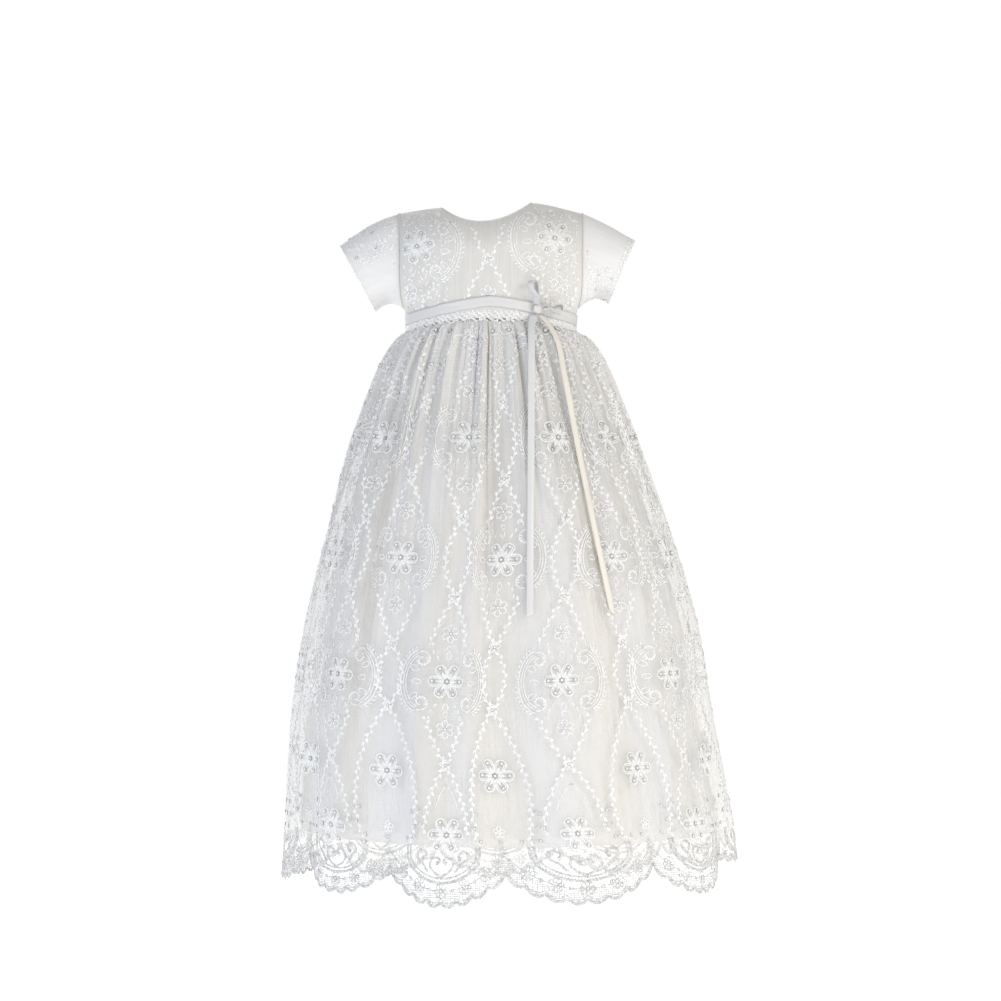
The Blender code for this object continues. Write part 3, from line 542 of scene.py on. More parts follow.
WORLD_SEEN = 1.0            # brightness of the backdrop to the camera
WORLD_GLOW = 0.52           # brightness with which it lights the gown
world = bpy.data.worlds.new("studio")
bpy.context.scene.world = world
world.use_nodes = True
nodes, links = world.node_tree.nodes, world.node_tree.links
nodes.clear()
output = nodes.new("ShaderNodeOutputWorld")
path = nodes.new("ShaderNodeLightPath")
mix = nodes.new("ShaderNodeMixShader")
glow, seen = nodes.new("ShaderNodeBackground"), nodes.new("ShaderNodeBackground")
glow.inputs["Color"].default_value = (0.97, 0.98, 1.0, 1.0)
glow.inputs["Strength"].default_value = WORLD_GLOW
seen.inputs["Strength"].default_value = WORLD_SEEN
seen.inputs["Color"].default_value = (1.0, 1.0, 1.0, 1.0)
links.new(path.outputs["Is Camera Ray"], mix.inputs["Fac"])
links.new(glow.outputs["Background"], mix.inputs[1])
links.new(seen.outputs["Background"], mix.inputs[2])
links.new(mix.outputs["Shader"], output.inputs["Surface"])
bpy.context.scene.view_settings.view_transform = "Standard"

# %% Floor
FLOOR_Z = -0.80
FLOOR_RADIUS = 2.2
FLOOR_GLOW = 0.75
turn = np.linspace(0, 2 * np.pi, 96, endpoint=False)
rim = np.stack([FLOOR_RADIUS * np.cos(turn), FLOOR_RADIUS * np.sin(turn),
                np.full(96, FLOOR_Z)], axis=-1)
floor_mesh = bpy.data.meshes.new("floor")
floor_mesh.from_pydata(rim.tolist(), [], [list(range(96))])
floor = bpy.data.objects.new("floor", floor_mesh)
bpy.context.scene.collection.objects.link(floor)
floor_paint = bpy.data.materials.new("pale_floor")
floor_paint.use_nodes = True
shader = floor_paint.node_tree.nodes["Principled BSDF"]
shader.inputs["Base Color"].default_value = (0.92, 0.92, 0.92, 1.0)
shader.inputs["Roughness"].default_value = 0.9
shader.inputs["Emission Color"].default_value = (1.0, 1.0, 1.0, 1.0)
shader.inputs["Emission Strength"].default_value = FLOOR_GLOW
floor_mesh.materials.append(floor_paint)

# %% [markdown]
# ## Finishes
#
# The gown has few colours and many surfaces. Five effects come back in several of them, so
# each is a node group: fine streaks along the cloth, where net lies in tiny gathers over
# satin; the open mesh of the net; the over-and-under of a satin weave; and the twist and
# the glints of the embroidery thread. Cloth patterns read the UV map, which is in metres of
# flat cloth. The thread reads Object coordinates, because its pieces are joined from
# thousands of stitches that have no cloth of their own.


# %% Node groups
def new_group(name, inputs, outputs):
    """An empty node group with float inputs (name and usual value) and float outputs."""
    group = bpy.data.node_groups.new(name, "ShaderNodeTree")
    for socket, value in inputs:
        made = group.interface.new_socket(socket, in_out="INPUT", socket_type="NodeSocketFloat")
        made.default_value = value
    for socket in outputs:
        group.interface.new_socket(socket, in_out="OUTPUT", socket_type="NodeSocketFloat")
    return group, group.nodes.new("NodeGroupInput"), group.nodes.new("NodeGroupOutput")


def add_math(tree, operation, *values):
    """A Math node fed with sockets or plain numbers; gives its output socket."""
    node = tree.nodes.new("ShaderNodeMath")
    node.operation = operation
    for socket, value in zip(node.inputs, values):
        if isinstance(value, (int, float)):
            socket.default_value = value
        else:
            tree.links.new(value, socket)
    return node.outputs[0]


def stretched(tree, value, low, high):
    """A value stretched so that low becomes 0 and high becomes 1, and kept between."""
    share = add_math(tree, "DIVIDE", add_math(tree, "SUBTRACT", value, low), high - low)
    return add_math(tree, "MAXIMUM", add_math(tree, "MINIMUM", share, 1.0), 0.0)


def scaled_place(tree, coordinates, across, along):
    """Coordinates divided by a size across and one along the cloth."""
    split = tree.nodes.new("ShaderNodeSeparateXYZ")
    join = tree.nodes.new("ShaderNodeCombineXYZ")
    tree.links.new(coordinates, split.inputs[0])
    tree.links.new(add_math(tree, "DIVIDE", split.outputs[0], across), join.inputs[0])
    tree.links.new(add_math(tree, "DIVIDE", split.outputs[1], along), join.inputs[1])
    return join.outputs[0]


def streak_group():
    """Streaks along the cloth: noise on the UV map, drawn out along V."""
    group, given, result = new_group("cloth_streaks", [("Pitch", 0.0024), ("Run", 0.06)],
                                     ["Streaks"])
    uv = group.nodes.new("ShaderNodeUVMap")
    noise = group.nodes.new("ShaderNodeTexNoise")
    noise.inputs["Scale"].default_value = 1.0
    noise.inputs["Detail"].default_value = 3.0
    place = scaled_place(group, uv.outputs[0], given.outputs["Pitch"], given.outputs["Run"])
    group.links.new(place, noise.inputs["Vector"])
    group.links.new(noise.outputs[0], result.inputs["Streaks"])
    return group


def net_group():
    """The net's threads: 1 on the borders of slightly uneven cells, 0 in the holes."""
    group, given, result = new_group("net_threads", [("Hole", 0.0013), ("Thread", 0.16)],
                                     ["Threads"])
    uv = group.nodes.new("ShaderNodeUVMap")
    cells = group.nodes.new("ShaderNodeTexVoronoi")
    cells.feature = "DISTANCE_TO_EDGE"
    cells.inputs["Scale"].default_value = 1.0
    cells.inputs["Randomness"].default_value = 0.35
    place = scaled_place(group, uv.outputs[0], given.outputs["Hole"], given.outputs["Hole"])
    group.links.new(place, cells.inputs["Vector"])
    near = add_math(group, "DIVIDE", cells.outputs["Distance"], given.outputs["Thread"])
    threads = add_math(group, "SUBTRACT", 1.0, add_math(group, "MINIMUM", near, 1.0))
    group.links.new(threads, result.inputs["Threads"])
    return group


def weave_group():
    """A satin weave: long floats along V, each a little arched, stepped sideways."""
    group, given, result = new_group("satin_weave", [("Thread", 0.0004)], ["Height"])
    uv = group.nodes.new("ShaderNodeUVMap")
    float_length = add_math(group, "MULTIPLY", given.outputs["Thread"], 5.0)
    place = scaled_place(group, uv.outputs[0], given.outputs["Thread"], float_length)
    split = group.nodes.new("ShaderNodeSeparateXYZ")
    group.links.new(place, split.inputs[0])
    step = add_math(group, "MULTIPLY", add_math(group, "FLOOR", split.outputs[0]), 0.4)
    arch = add_math(group, "PINGPONG", add_math(group, "ADD", split.outputs[1], step), 0.5)
    ridge = add_math(group, "PINGPONG", split.outputs[0], 0.5)
    group.links.new(add_math(group, "ADD", arch, ridge), result.inputs["Height"])
    return group


def twist_group():
    """The twist of a thread: fine waves on Object coordinates, broken up by noise."""
    group, given, result = new_group("thread_twist", [("Pitch", 0.0007)], ["Height"])
    place = group.nodes.new("ShaderNodeTexCoord")
    scale = group.nodes.new("ShaderNodeVectorMath")
    scale.operation = "SCALE"
    wave = group.nodes.new("ShaderNodeTexWave")
    wave.bands_direction = "DIAGONAL"
    wave.inputs["Scale"].default_value = 0.3
    wave.inputs["Distortion"].default_value = 4.0
    group.links.new(place.outputs["Object"], scale.inputs[0])
    group.links.new(add_math(group, "DIVIDE", 1.0, given.outputs["Pitch"]), scale.inputs["Scale"])
    group.links.new(scale.outputs[0], wave.inputs["Vector"])
    group.links.new(wave.outputs["Fac"], result.inputs["Height"])
    return group


def glint_group():
    """Glints: noise on Object coordinates, stretched until some turns of the thread are
    bright and others dull."""
    group, given, result = new_group("thread_glints", [("Size", 0.0022)], ["Glints"])
    place = group.nodes.new("ShaderNodeTexCoord")
    scale = group.nodes.new("ShaderNodeVectorMath")
    scale.operation = "SCALE"
    noise = group.nodes.new("ShaderNodeTexNoise")
    noise.inputs["Scale"].default_value = 1.0
    noise.inputs["Detail"].default_value = 1.0
    group.links.new(place.outputs["Object"], scale.inputs[0])
    group.links.new(add_math(group, "DIVIDE", 1.0, given.outputs["Size"]), scale.inputs["Scale"])
    group.links.new(scale.outputs[0], noise.inputs["Vector"])
    group.links.new(stretched(group, noise.outputs[0], 0.36, 0.64), result.inputs["Glints"])
    return group


STREAKS, NET, WEAVE = streak_group(), net_group(), weave_group()
TWIST, GLINTS = twist_group(), glint_group()


# %% Material helpers
def new_finish(name, colour, roughness, sheen=0.0, coat=0.0, anisotropic=0.0):
    """A Principled material with plain values; gives the material and its shader."""
    material = bpy.data.materials.new(name)
    material.use_nodes = True
    shader = material.node_tree.nodes["Principled BSDF"]
    shader.inputs["Base Color"].default_value = (*colour, 1.0)
    shader.inputs["Roughness"].default_value = roughness
    shader.inputs["Sheen Weight"].default_value = sheen
    shader.inputs["Coat Weight"].default_value = coat
    shader.inputs["Anisotropic"].default_value = anisotropic
    material.diffuse_color = (*colour, 1.0)
    return material, shader


def use_group(material, group, **values):
    """Places a node group in a material with its own values; gives its first output."""
    node = material.node_tree.nodes.new("ShaderNodeGroup")
    node.node_tree = group
    for socket, value in values.items():
        node.inputs[socket].default_value = value
    return node.outputs[0]


def add_bump(material, height, distance, strength=1.0, normal=None):
    """A Bump node over another one's normal, if given; gives its normal."""
    bump = material.node_tree.nodes.new("ShaderNodeBump")
    bump.inputs["Distance"].default_value = distance
    bump.inputs["Strength"].default_value = strength
    material.node_tree.links.new(height, bump.inputs["Height"])
    if normal is not None:
        material.node_tree.links.new(normal, bump.inputs["Normal"])
    return bump.outputs["Normal"]


def tint_by(material, mask, low, high):
    """Mixes two colours by a mask, into the material's Base Color."""
    mix = material.node_tree.nodes.new("ShaderNodeMix")
    mix.data_type = "RGBA"
    mix.inputs[6].default_value = (*low, 1.0)
    mix.inputs[7].default_value = (*high, 1.0)
    shader = material.node_tree.nodes["Principled BSDF"]
    material.node_tree.links.new(mask, mix.inputs[0])
    material.node_tree.links.new(mix.outputs[2], shader.inputs["Base Color"])


def blend_over(material, mask, tint):
    """Mixes a tint, by a mask, over what already feeds the material's Base Color."""
    tree = material.node_tree
    base = tree.nodes["Principled BSDF"].inputs["Base Color"]
    mix = tree.nodes.new("ShaderNodeMix")
    mix.data_type = "RGBA"
    mix.inputs[7].default_value = (*tint, 1.0)
    tree.links.new(base.links[0].from_socket, mix.inputs[6])
    tree.links.new(mask, mix.inputs[0])
    tree.links.new(mix.outputs[2], base)


# %% Cloth, thread and trim
def make_net(name, clear, dense, gathered):
    """Sheer net: its alpha runs from clear in the holes to dense on the threads, and its
    tiny gathers show as streaks. Where the net is gathered it lies in several layers, so
    gathered is added to the alpha there, by the piece's attribute of that name."""
    material, shader = new_finish(name, (0.93, 0.92, 0.90), 0.75, sheen=0.15)
    threads = use_group(material, NET, Hole=0.0014, Thread=0.2)
    streaks = use_group(material, STREAKS, Pitch=0.0030, Run=0.09)
    tree = material.node_tree
    both = add_math(tree, "MULTIPLY", add_math(tree, "ADD", threads, 0.35), streaks)
    alpha = add_math(tree, "ADD", add_math(tree, "MULTIPLY", both, dense - clear), clear)
    layers = tree.nodes.new("ShaderNodeAttribute")
    layers.attribute_name = "gathered"
    more = add_math(tree, "MULTIPLY", layers.outputs["Fac"], gathered)
    alpha = add_math(tree, "MINIMUM", add_math(tree, "ADD", alpha, more), 1.0)
    tree.links.new(alpha, shader.inputs["Alpha"])
    return material


def make_cloth(name, shade, light, roughness, pitch, relief, sheen=0.1):
    """Lined cloth: soft streaks in the relief, and in the colour as painted shade in their
    hollows, over a satin weave.
    """
    material, shader = new_finish(name, light, roughness, sheen=sheen)
    streaks = use_group(material, STREAKS, Pitch=pitch, Run=0.05)
    # Painted shade: the colour is darker where the streaks are low in the relief.
    tint_by(material, streaks, shade, light)
    normal = add_bump(material, streaks, relief)
    normal = add_bump(material, use_group(material, WEAVE, Thread=0.0004), 0.00004,
                      normal=normal)
    material.node_tree.links.new(normal, shader.inputs["Normal"])
    return material


def make_ribbon(name, shade, light):
    """Satin ribbon: two or three soft stripes along it, raised in the relief and with painted
    shade in their hollows, and a fine weave.
    """
    material, shader = new_finish(name, light, 0.36, sheen=0.05, anisotropic=0.4)
    stripes_with_painted_shade = use_group(material, STREAKS, Pitch=0.0026, Run=0.3)
    # Painted shade: the colour is darker where the stripes are low in the relief.
    tint_by(material, stripes_with_painted_shade, shade, light)
    normal = add_bump(material, stripes_with_painted_shade, 0.0002)
    normal = add_bump(material, use_group(material, WEAVE, Thread=0.0003), 0.00003,
                      normal=normal)
    material.node_tree.links.new(normal, shader.inputs["Normal"])
    return material


def make_thread(name, dull, bright, roughness, pitch):
    """Shiny thread: glints in its colour, and its twist as relief."""
    material, shader = new_finish(name, bright, roughness, sheen=0.05)
    # Painted highlights: the glints are painted into the thread's colour, bright on some turns and
    # dull on others.
    tint_by(material, use_group(material, GLINTS, Size=3 * pitch), dull, bright)
    normal = add_bump(material, use_group(material, TWIST, Pitch=pitch), 0.00012)
    material.node_tree.links.new(normal, shader.inputs["Normal"])
    return material


SKIRT_NET = make_net("skirt_net", 0.08, 0.54, 0.40)
LINING_SATIN = make_cloth("lining_satin", (0.72, 0.695, 0.65), (0.83, 0.81, 0.765), 0.42,
                          0.0032, 0.0006)
# Painted shade: broad random bands down the lining are mixed towards a cool blue-grey, for the cool
# shade on its soft folds.
cool_shade_bands = use_group(LINING_SATIN, STREAKS, Pitch=0.045, Run=0.9)
blend_over(LINING_SATIN, stretched(LINING_SATIN.node_tree, cool_shade_bands, 0.42, 0.60),
           (0.775, 0.78, 0.805))
# Painted shade: along its long folds the lining's colour is mixed towards a darker beige, by a
# value kept with each point, for the shade in the fold valleys.
painted_fold_shade = LINING_SATIN.node_tree.nodes.new("ShaderNodeAttribute")
painted_fold_shade.attribute_name = "painted_fold_shade"
blend_over(LINING_SATIN, painted_fold_shade.outputs["Fac"], (0.66, 0.60, 0.53))
LINED_NET = make_cloth("lined_net", (0.62, 0.61, 0.585), (0.75, 0.735, 0.705), 0.55,
                       0.0024, 0.0009)
SLEEVE_SATIN = make_cloth("sleeve_satin", (0.74, 0.735, 0.73), (0.83, 0.825, 0.815), 0.45,
                          0.0050, 0.0004)
WHITE_SATIN = make_ribbon("white_satin_ribbon", (0.63, 0.625, 0.62), (0.74, 0.735, 0.73))
# Painted light: the tails are the belt's satin, but each has its own copy in the tone it shows; the
# slanted tail's is warmer and brighter, as in the warm light, the straight tail's cooler.
TAIL_SATIN = make_ribbon("tail_satin_ribbon", (0.64, 0.64, 0.645), (0.78, 0.78, 0.78))
WARM_LIT_TAIL_SATIN = make_ribbon("warm_lit_tail_satin_ribbon", (0.74, 0.70, 0.61), (0.84, 0.80, 0.71))
print("materials so far:", len(bpy.data.materials))

# %% [markdown]
# ## The skirt's two layers
#
# The skirt is made as the real one is: a width of net in front and one behind, over two
# widths of lining. Each is one grid. Its rows crowd together near the waist, where the
# gathers are deepest, and its last row follows the hem. The net's hem is scalloped and
# lobed, and the lining's is cut straight and ends above the scallops, so the border of
# the net hangs clear and can be seen through.


# %% Skirt widths
def skirt_width(first, last, per_scallop, rows, hem_z, inset):
    """The grid of one width, parted from the next by half a seam gap. Rows run down from
    the waist as a share of the height, half of it squared to crowd them at the top."""
    cloth = np.linspace(first, last, (last - first) * per_scallop + 1)
    gap = SEAM_GAP / 2 / SCALLOP_WIDTH
    cloth[0] += gap
    cloth[-1] -= gap
    share = np.linspace(0, 1, rows)[:, None]
    below = (0.5 * share + 0.5 * share ** 2) * below_of(cloth, hem_z(cloth))
    grid = skirt_point(cloth[None, :], below, inset)
    uv = np.stack([np.broadcast_to(cloth * SCALLOP_WIDTH, below.shape), grid[..., 2]], axis=-1)
    return grid, uv


def lining_hem(cloth):
    """The lining's straight hem, a little higher at the sides."""
    return LINING_HEM_Z + LINING_SIDE_RISE * np.sin(np.radians(hem_angle(cloth))) ** 2


def grid_area(grid):
    """Area of a grid's squares, each as half the cross product of its diagonals."""
    diagonal = grid[1:, 1:] - grid[:-1, :-1]
    other = grid[1:, :-1] - grid[:-1, 1:]
    return np.linalg.norm(np.cross(diagonal, other), axis=-1).sum() / 2


def add_mask(piece, name, values):
    """Keeps a value from 0 to 1 with each point of a piece, for its material to read."""
    mask = piece.data.attributes.new(name, "FLOAT", "POINT")
    mask.data.foreach_set("value", np.clip(values, 0, 1).ravel().astype(np.float32))


GATHERED_TO = 0.16          # below the waist, where the gathers have opened out
LINING_SINKS = 0.9          # the lining's long folds are deeper than the net's by this share
# The lining's colour is painted darker and browner along its long folds, for the shade in their
# valleys; below are the fold depth at which that painted shade is full, and its strongest share.
FOLD_FULL = 0.0065          # depth of a net's fold at which the lining's shade is full
FOLD_PAINTED_SHADE = 0.55


def deep_lining(cloth, below):
    """The lining's inset, with its long folds drawn in deeper than the net's."""
    return lining_inset(cloth, below) + LINING_SINKS * long_folds(cloth, below)


LINING_LENGTH = 0.52
LINING_TAPER = 0.55         # the lining's width at the waist, as a share of its hem
CLOTH_WALL = 0.0004
WIDTHS = {"front": (0, FRONT_SCALLOPS), "back": (FRONT_SCALLOPS, SCALLOPS)}

for width, (first, last) in WIDTHS.items():
    grid, uv = skirt_width(first, last, 72, 84, scallop_hem, gather_depth)
    name = f"net_{width}"
    net = add_sheet(name, grid, uv, SKIRT_NET, [f"skirt_net_{width}"],
                    wall=CLOTH_WALL)
    below = below_of(uv[..., 0] / SCALLOP_WIDTH, uv[..., 1])
    add_mask(net, "gathered", 1 - below / GATHERED_TO)

    grid, uv = skirt_width(first, last, 36, 60, lining_hem, deep_lining)
    name = f"lining_{width}"
    lining = add_sheet(name, grid, uv, LINING_SATIN, [f"skirt_lining_{width}"],
                       wall=CLOTH_WALL)
    # Painted shade: each point of the lining keeps how deep its long folds are there, and its
    # material paints that much shade into its colour.
    cloth = uv[..., 0] / SCALLOP_WIDTH
    depth = long_folds(cloth, below_of(cloth, uv[..., 1])) / FOLD_FULL
    add_mask(lining, "painted_fold_shade", FOLD_PAINTED_SHADE * np.clip(depth, 0, 1))
    hem_width = float(np.linalg.norm(np.diff(grid[-1], axis=0), axis=1).sum())
    cut = (1 + LINING_TAPER) / 2 * hem_width * LINING_LENGTH
    print(name, "hem", round(hem_width, 3), "surface", round(grid_area(grid), 3),
          "of cut", round(cut, 3))


# %% [markdown]
# ## The bodice and its creases
#
# The bodice is net and satin sewn as one, in a front and two back panels that lap at the
# centre back. It sits close, so its creases are few and shallow: a pull from each underarm,
# some stacked lines at the right shoulder, and soft drags towards the bow. They are written
# down as a table of lines, and each one is a trough with a bell-shaped section, so that it
# fades out sideways and, by a half sine, at both ends.

# %% Creases of the bodice
CREASES = table("x_from z_from x_to z_to half_width depth", [
    (-0.086, -0.094, -0.050, -0.070, 0.0040, 0.0012),
    (-0.085, -0.104, -0.046, -0.092, 0.0035, 0.0010),
    (0.086, -0.092, 0.050, -0.066, 0.0040, 0.0012),
    (0.084, -0.106, 0.056, -0.086, 0.0035, 0.0011),
    (0.044, -0.004, 0.058, -0.030, 0.0016, 0.0007),
    (0.049, -0.003, 0.064, -0.028, 0.0016, 0.0007),
    (0.054, -0.004, 0.070, -0.028, 0.0016, 0.0006),
    (-0.044, -0.010, -0.056, -0.036, 0.0022, 0.0006),
    (-0.016, -0.064, -0.020, -0.108, 0.0045, 0.0007),
    (0.012, -0.058, 0.016, -0.104, 0.0050, 0.0008),
    (0.030, -0.070, 0.036, -0.100, 0.0035, 0.0009),
    (-0.048, -0.072, -0.052, -0.110, 0.0040, 0.0008),
    (0.068, -0.034, 0.074, -0.066, 0.0030, 0.0007),
    (-0.070, -0.040, -0.074, -0.070, 0.0030, 0.0007),
])


def crease_depth(x, z):
    """Depth of all creases at a point seen from the front or back: for each line, a bell
    across it times a half sine along it."""
    total = np.zeros(np.broadcast(x, z).shape)
    for x_from, z_from, x_to, z_to, half_width, depth in zip(*CREASES.values()):
        run = np.hypot(x_to - x_from, z_to - z_from)
        along = ((x - x_from) * (x_to - x_from) + (z - z_from) * (z_to - z_from)) / run
        off = ((x - x_from) * (z_to - z_from) - (z - z_from) * (x_to - x_from)) / run
        share = np.clip(along / run, 0, 1)
        total += depth * np.exp(-(off / half_width) ** 2) * np.sin(np.pi * share)
    return total


def grid_normals(grid):
    """Unit normals of an open grid, out of the cloth when its rows run down and its
    columns run to the right as seen from outside."""
    normal = np.cross(np.gradient(grid, axis=0), np.gradient(grid, axis=1))
    return unit(normal)


# %% Bodice panels
BODICE_ROWS = 56
BODICE_WALL = 0.0010


def bodice_panel(turns, facing, neck_turn, sink=None):
    """Grid and UV of a panel, rows from the shoulder down. turns are degrees over the
    width; sink pushes columns inwards, under the lap."""
    place = np.sin(np.radians(turns))[None, :]
    share = np.linspace(2, 0, BODICE_ROWS)[:, None]
    grid = bodice_point(place, share, facing, neck_turn)
    depth = crease_depth(grid[..., 0], grid[..., 2])
    if sink is not None:
        depth = depth + sink[None, :]
    grid = grid - grid_normals(grid) * depth[..., None]
    uv = np.stack([grid[..., 0], grid[..., 2]], axis=-1)
    return grid, uv


def fitted_cut(grid):
    """The cut of a panel that lies on the body with no gathers. Cloth doesn't stretch, so
    the cut has the panel's own surface, and it comes out of a rectangle as wide as the
    panel's longest row and as long as its longest column."""
    rows = np.linalg.norm(np.diff(grid, axis=1), axis=-1).sum(axis=1)
    columns = np.linalg.norm(np.diff(grid, axis=0), axis=-1).sum(axis=0)
    return (float(rows.max()), float(columns.max())), float(grid_area(grid))


lap = np.degrees(np.arcsin(LAP_X / WAIST_HALF_WIDTH))
UNDERLAP_SINK = 0.0016 + 3 * SEAM_GAP
right_turns = np.linspace(90, -lap, 97)
PANELS = {
    "bodice_front": (np.linspace(-90, 90, 181), -1, "front", None),
    "bodice_back_left": (np.linspace(lap, -90, 97), 1, "back", None),
    "bodice_back_right": (right_turns, 1, "underlap",
                          UNDERLAP_SINK * ease((2.3 * lap - right_turns) / (1.2 * lap))),
}
PANEL_PIECES, CUTS = {}, {}
for name, (turns, facing, neck, sink) in PANELS.items():
    grid, uv = bodice_panel(turns, facing, NECK_TURNS[neck], sink)
    panel = add_sheet(f"cloth_{name}", grid, uv, LINED_NET, [name],
                      wall=BODICE_WALL)
    flat, area = fitted_cut(grid)
    PANEL_PIECES[name] = panel
    CUTS[name] = (flat, area, [] if facing < 0 else ["cloth_bodice_front"])
    print(name, "cut from", [round(size, 3) for size in flat], "area", round(area, 4))

# %% [markdown]
# ## The sleeves
#
# Each sleeve is a short tube from the oval armhole to the cuff. It is puffed only a little,
# with soft folds that run from the armhole outwards. The left one is satin below and lace
# above; the right one is satin above and lace below, with a scalloped lace cuff.

# %% Sleeve folds and shells
SLEEVE_FOLDS = table("turn along half_turn depth", [
    (300, 0.45, 14, 0.0010),
    (262, 0.55, 12, 0.0013),
    (238, 0.40, 13, 0.0012),
    (215, 0.55, 12, 0.0010),
    (330, 0.60, 15, 0.0008),
    (25, 0.50, 16, 0.0008),
    (70, 0.50, 14, 0.0012),
    (105, 0.45, 13, 0.0013),
    (140, 0.50, 12, 0.0010),
    (175, 0.55, 13, 0.0009),
])


def sleeve_surface(turn, along, sizes):
    """A sleeve with its folds: bells in the turn round the arm and along it, sunk towards
    the sleeve's middle line."""
    point = sleeve_point(turn, along, **sizes)
    depth = np.zeros(point.shape[:-1])
    for middle, at, half_turn, most in zip(*SLEEVE_FOLDS.values()):
        off = (np.degrees(turn) - middle + 180) % 360 - 180
        depth += most * np.exp(-(off / half_turn) ** 2 - ((along - at) / 0.35) ** 2)
    inwards = np.stack([np.zeros_like(depth), -np.sin(turn) + 0 * depth,
                        -np.cos(turn) + 0 * depth], axis=-1)
    return point + inwards * depth[..., None]


for name, sizes in SLEEVES.items():
    turn = np.linspace(0, 2 * np.pi, 97) * sizes["side"]
    along = np.linspace(0, 1, 25)[:, None]
    grid = sleeve_surface(turn[None, :-1], along, sizes)
    seam = sleeve_surface(turn[None, -1:], along, sizes)
    whole = np.concatenate([grid, seam], axis=1)
    uv = np.stack([np.broadcast_to(turn[None, :] * 0.036, whole.shape[:2]),
                   np.broadcast_to(along * 0.055, whole.shape[:2])], axis=-1)
    sleeve = add_sheet(f"cloth_{name}", whole, uv, SLEEVE_SATIN, [name],
                       wall=BODICE_WALL)
    weld = sleeve.modifiers.new("close the seam", "WELD")
    weld.merge_threshold = 0.00005
    sleeve.modifiers.move(len(sleeve.modifiers) - 1, 0)
    flat, area = fitted_cut(whole)
    PANEL_PIECES[name] = sleeve
    CUTS[name] = (flat, area, ["cloth_bodice_front"])
    print(name, "cut from", [round(size, 3) for size in flat], "area", round(area, 4))


# %% [markdown]
# ## Tubes and turned bodies
#
# Two more helpers. A tube carries a ring along a path, and is used for rolled edges, seam
# cords and piping. A turned body stacks rings between two poles, and is used for the knot
# and the buttons. Both are closed, with their faces pointing out.


# %% Helpers for cords and closed bodies
def tube_mesh(name, path, normals, radius, sides=8, closed=False):
    """A tube: at each point of the path a ring in the plane of the normal and of the
    direction square to it and to the path. Open ends get a point each."""
    if closed:
        along = np.roll(path, -1, axis=0) - np.roll(path, 1, axis=0)
    else:
        along = np.gradient(path, axis=0)
    side = unit(np.cross(along, normals))
    rise = unit(np.cross(side, along))
    turn = np.linspace(0, 2 * np.pi, sides, endpoint=False)[None, :, None]
    rings = path[:, None, :] + radius * (np.cos(turn) * rise[:, None, :]
                                         + np.sin(turn) * side[:, None, :])
    if closed:
        rings = np.concatenate([rings, rings[:1]])
        count = len(path)
        r, s = np.meshgrid(np.arange(count), np.arange(sides), indexing="ij")
        after, beside = (r + 1) % count, (s + 1) % sides
        faces = np.stack([r * sides + s, r * sides + beside, after * sides + beside,
                          after * sides + s], axis=-1).reshape(-1, 4)
        return mesh_from_arrays(name, rings[:-1].reshape(-1, 3), faces)
    return turned_mesh(name, rings, path[0], path[-1])


def turned_mesh(name, rings, low, high):
    """A closed body of triangles from rings (rings, sides, xyz) and a pole at each end."""
    count, sides = rings.shape[:2]
    points = np.concatenate([rings.reshape(-1, 3), [low], [high]])
    r, s = np.meshgrid(np.arange(count - 1), np.arange(sides), indexing="ij")
    a, b = (r * sides + s).ravel(), (r * sides + (s + 1) % sides).ravel()
    s = np.arange(sides)
    last = (count - 1) * sides
    low_fan = np.stack([np.full(sides, len(points) - 2), (s + 1) % sides, s], axis=-1)
    high_fan = np.stack([np.full(sides, len(points) - 1), last + s, last + (s + 1) % sides],
                        axis=-1)
    faces = np.concatenate([np.stack([a, b, b + sides], axis=-1),
                            np.stack([a, b + sides, a + sides], axis=-1), low_fan, high_fan])
    corners = points[faces]
    volume = np.einsum("ij,ij->", corners[:, 0], np.cross(corners[:, 1], corners[:, 2]))
    if volume < 0:
        faces = faces[:, ::-1]
    return mesh_from_arrays(name, points, faces)


# %% [markdown]
# ## The belt, the bow and its tails
#
# A 10 mm satin ribbon is sewn round the bodice above the waist seam, and a small bow is
# tied on it at one side. The ribbon is a strip on the bodice's own surface, stood off by
# its thickness. A loop of the bow reaches out as the sine of half a turn and spreads as
# the sine of a whole one. The tails hang over the crests of the skirt: their route seen
# from the front is a table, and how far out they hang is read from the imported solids.

# %% Ribbon belt
RIBBON_WIDTH = 0.010
RIBBON_FRONT_Z = -0.0988
RIBBON_SIDE_DROP = 0.017
BELT_STAND = 1.35 * SEAM_GAP + 0.0010
RIBBON_WALL = 0.0005
RIBBON_CROWN = 0.0003       # how much its middle bows out


def ribbon_z(place):
    """Height of the belt's middle line, lower at the sides."""
    return RIBBON_FRONT_Z - RIBBON_SIDE_DROP * np.abs(place) ** 1.3


def belt_point(turn, facing, across):
    """A point of the belt's outer face: the bodice's surface moved out along the normal
    of the waist's ellipse. across runs from -0.5 to 0.5 over the ribbon."""
    place = np.sin(np.radians(turn))
    z = ribbon_z(place) + across * RIBBON_WIDTH
    point = np.stack([bodice_x(place, z), facing * bodice_depth(place, z, 0.0), z], axis=-1)
    away = np.stack([place / WAIST_HALF_WIDTH + 0 * z,
                     facing * np.cos(np.radians(turn)) / WAIST_HALF_DEPTH + 0 * z, 0 * z],
                    axis=-1)
    stand = BELT_STAND + RIBBON_CROWN * (1 - 4 * across ** 2)
    return point + unit(away) * np.broadcast_to(stand, z.shape)[..., None]


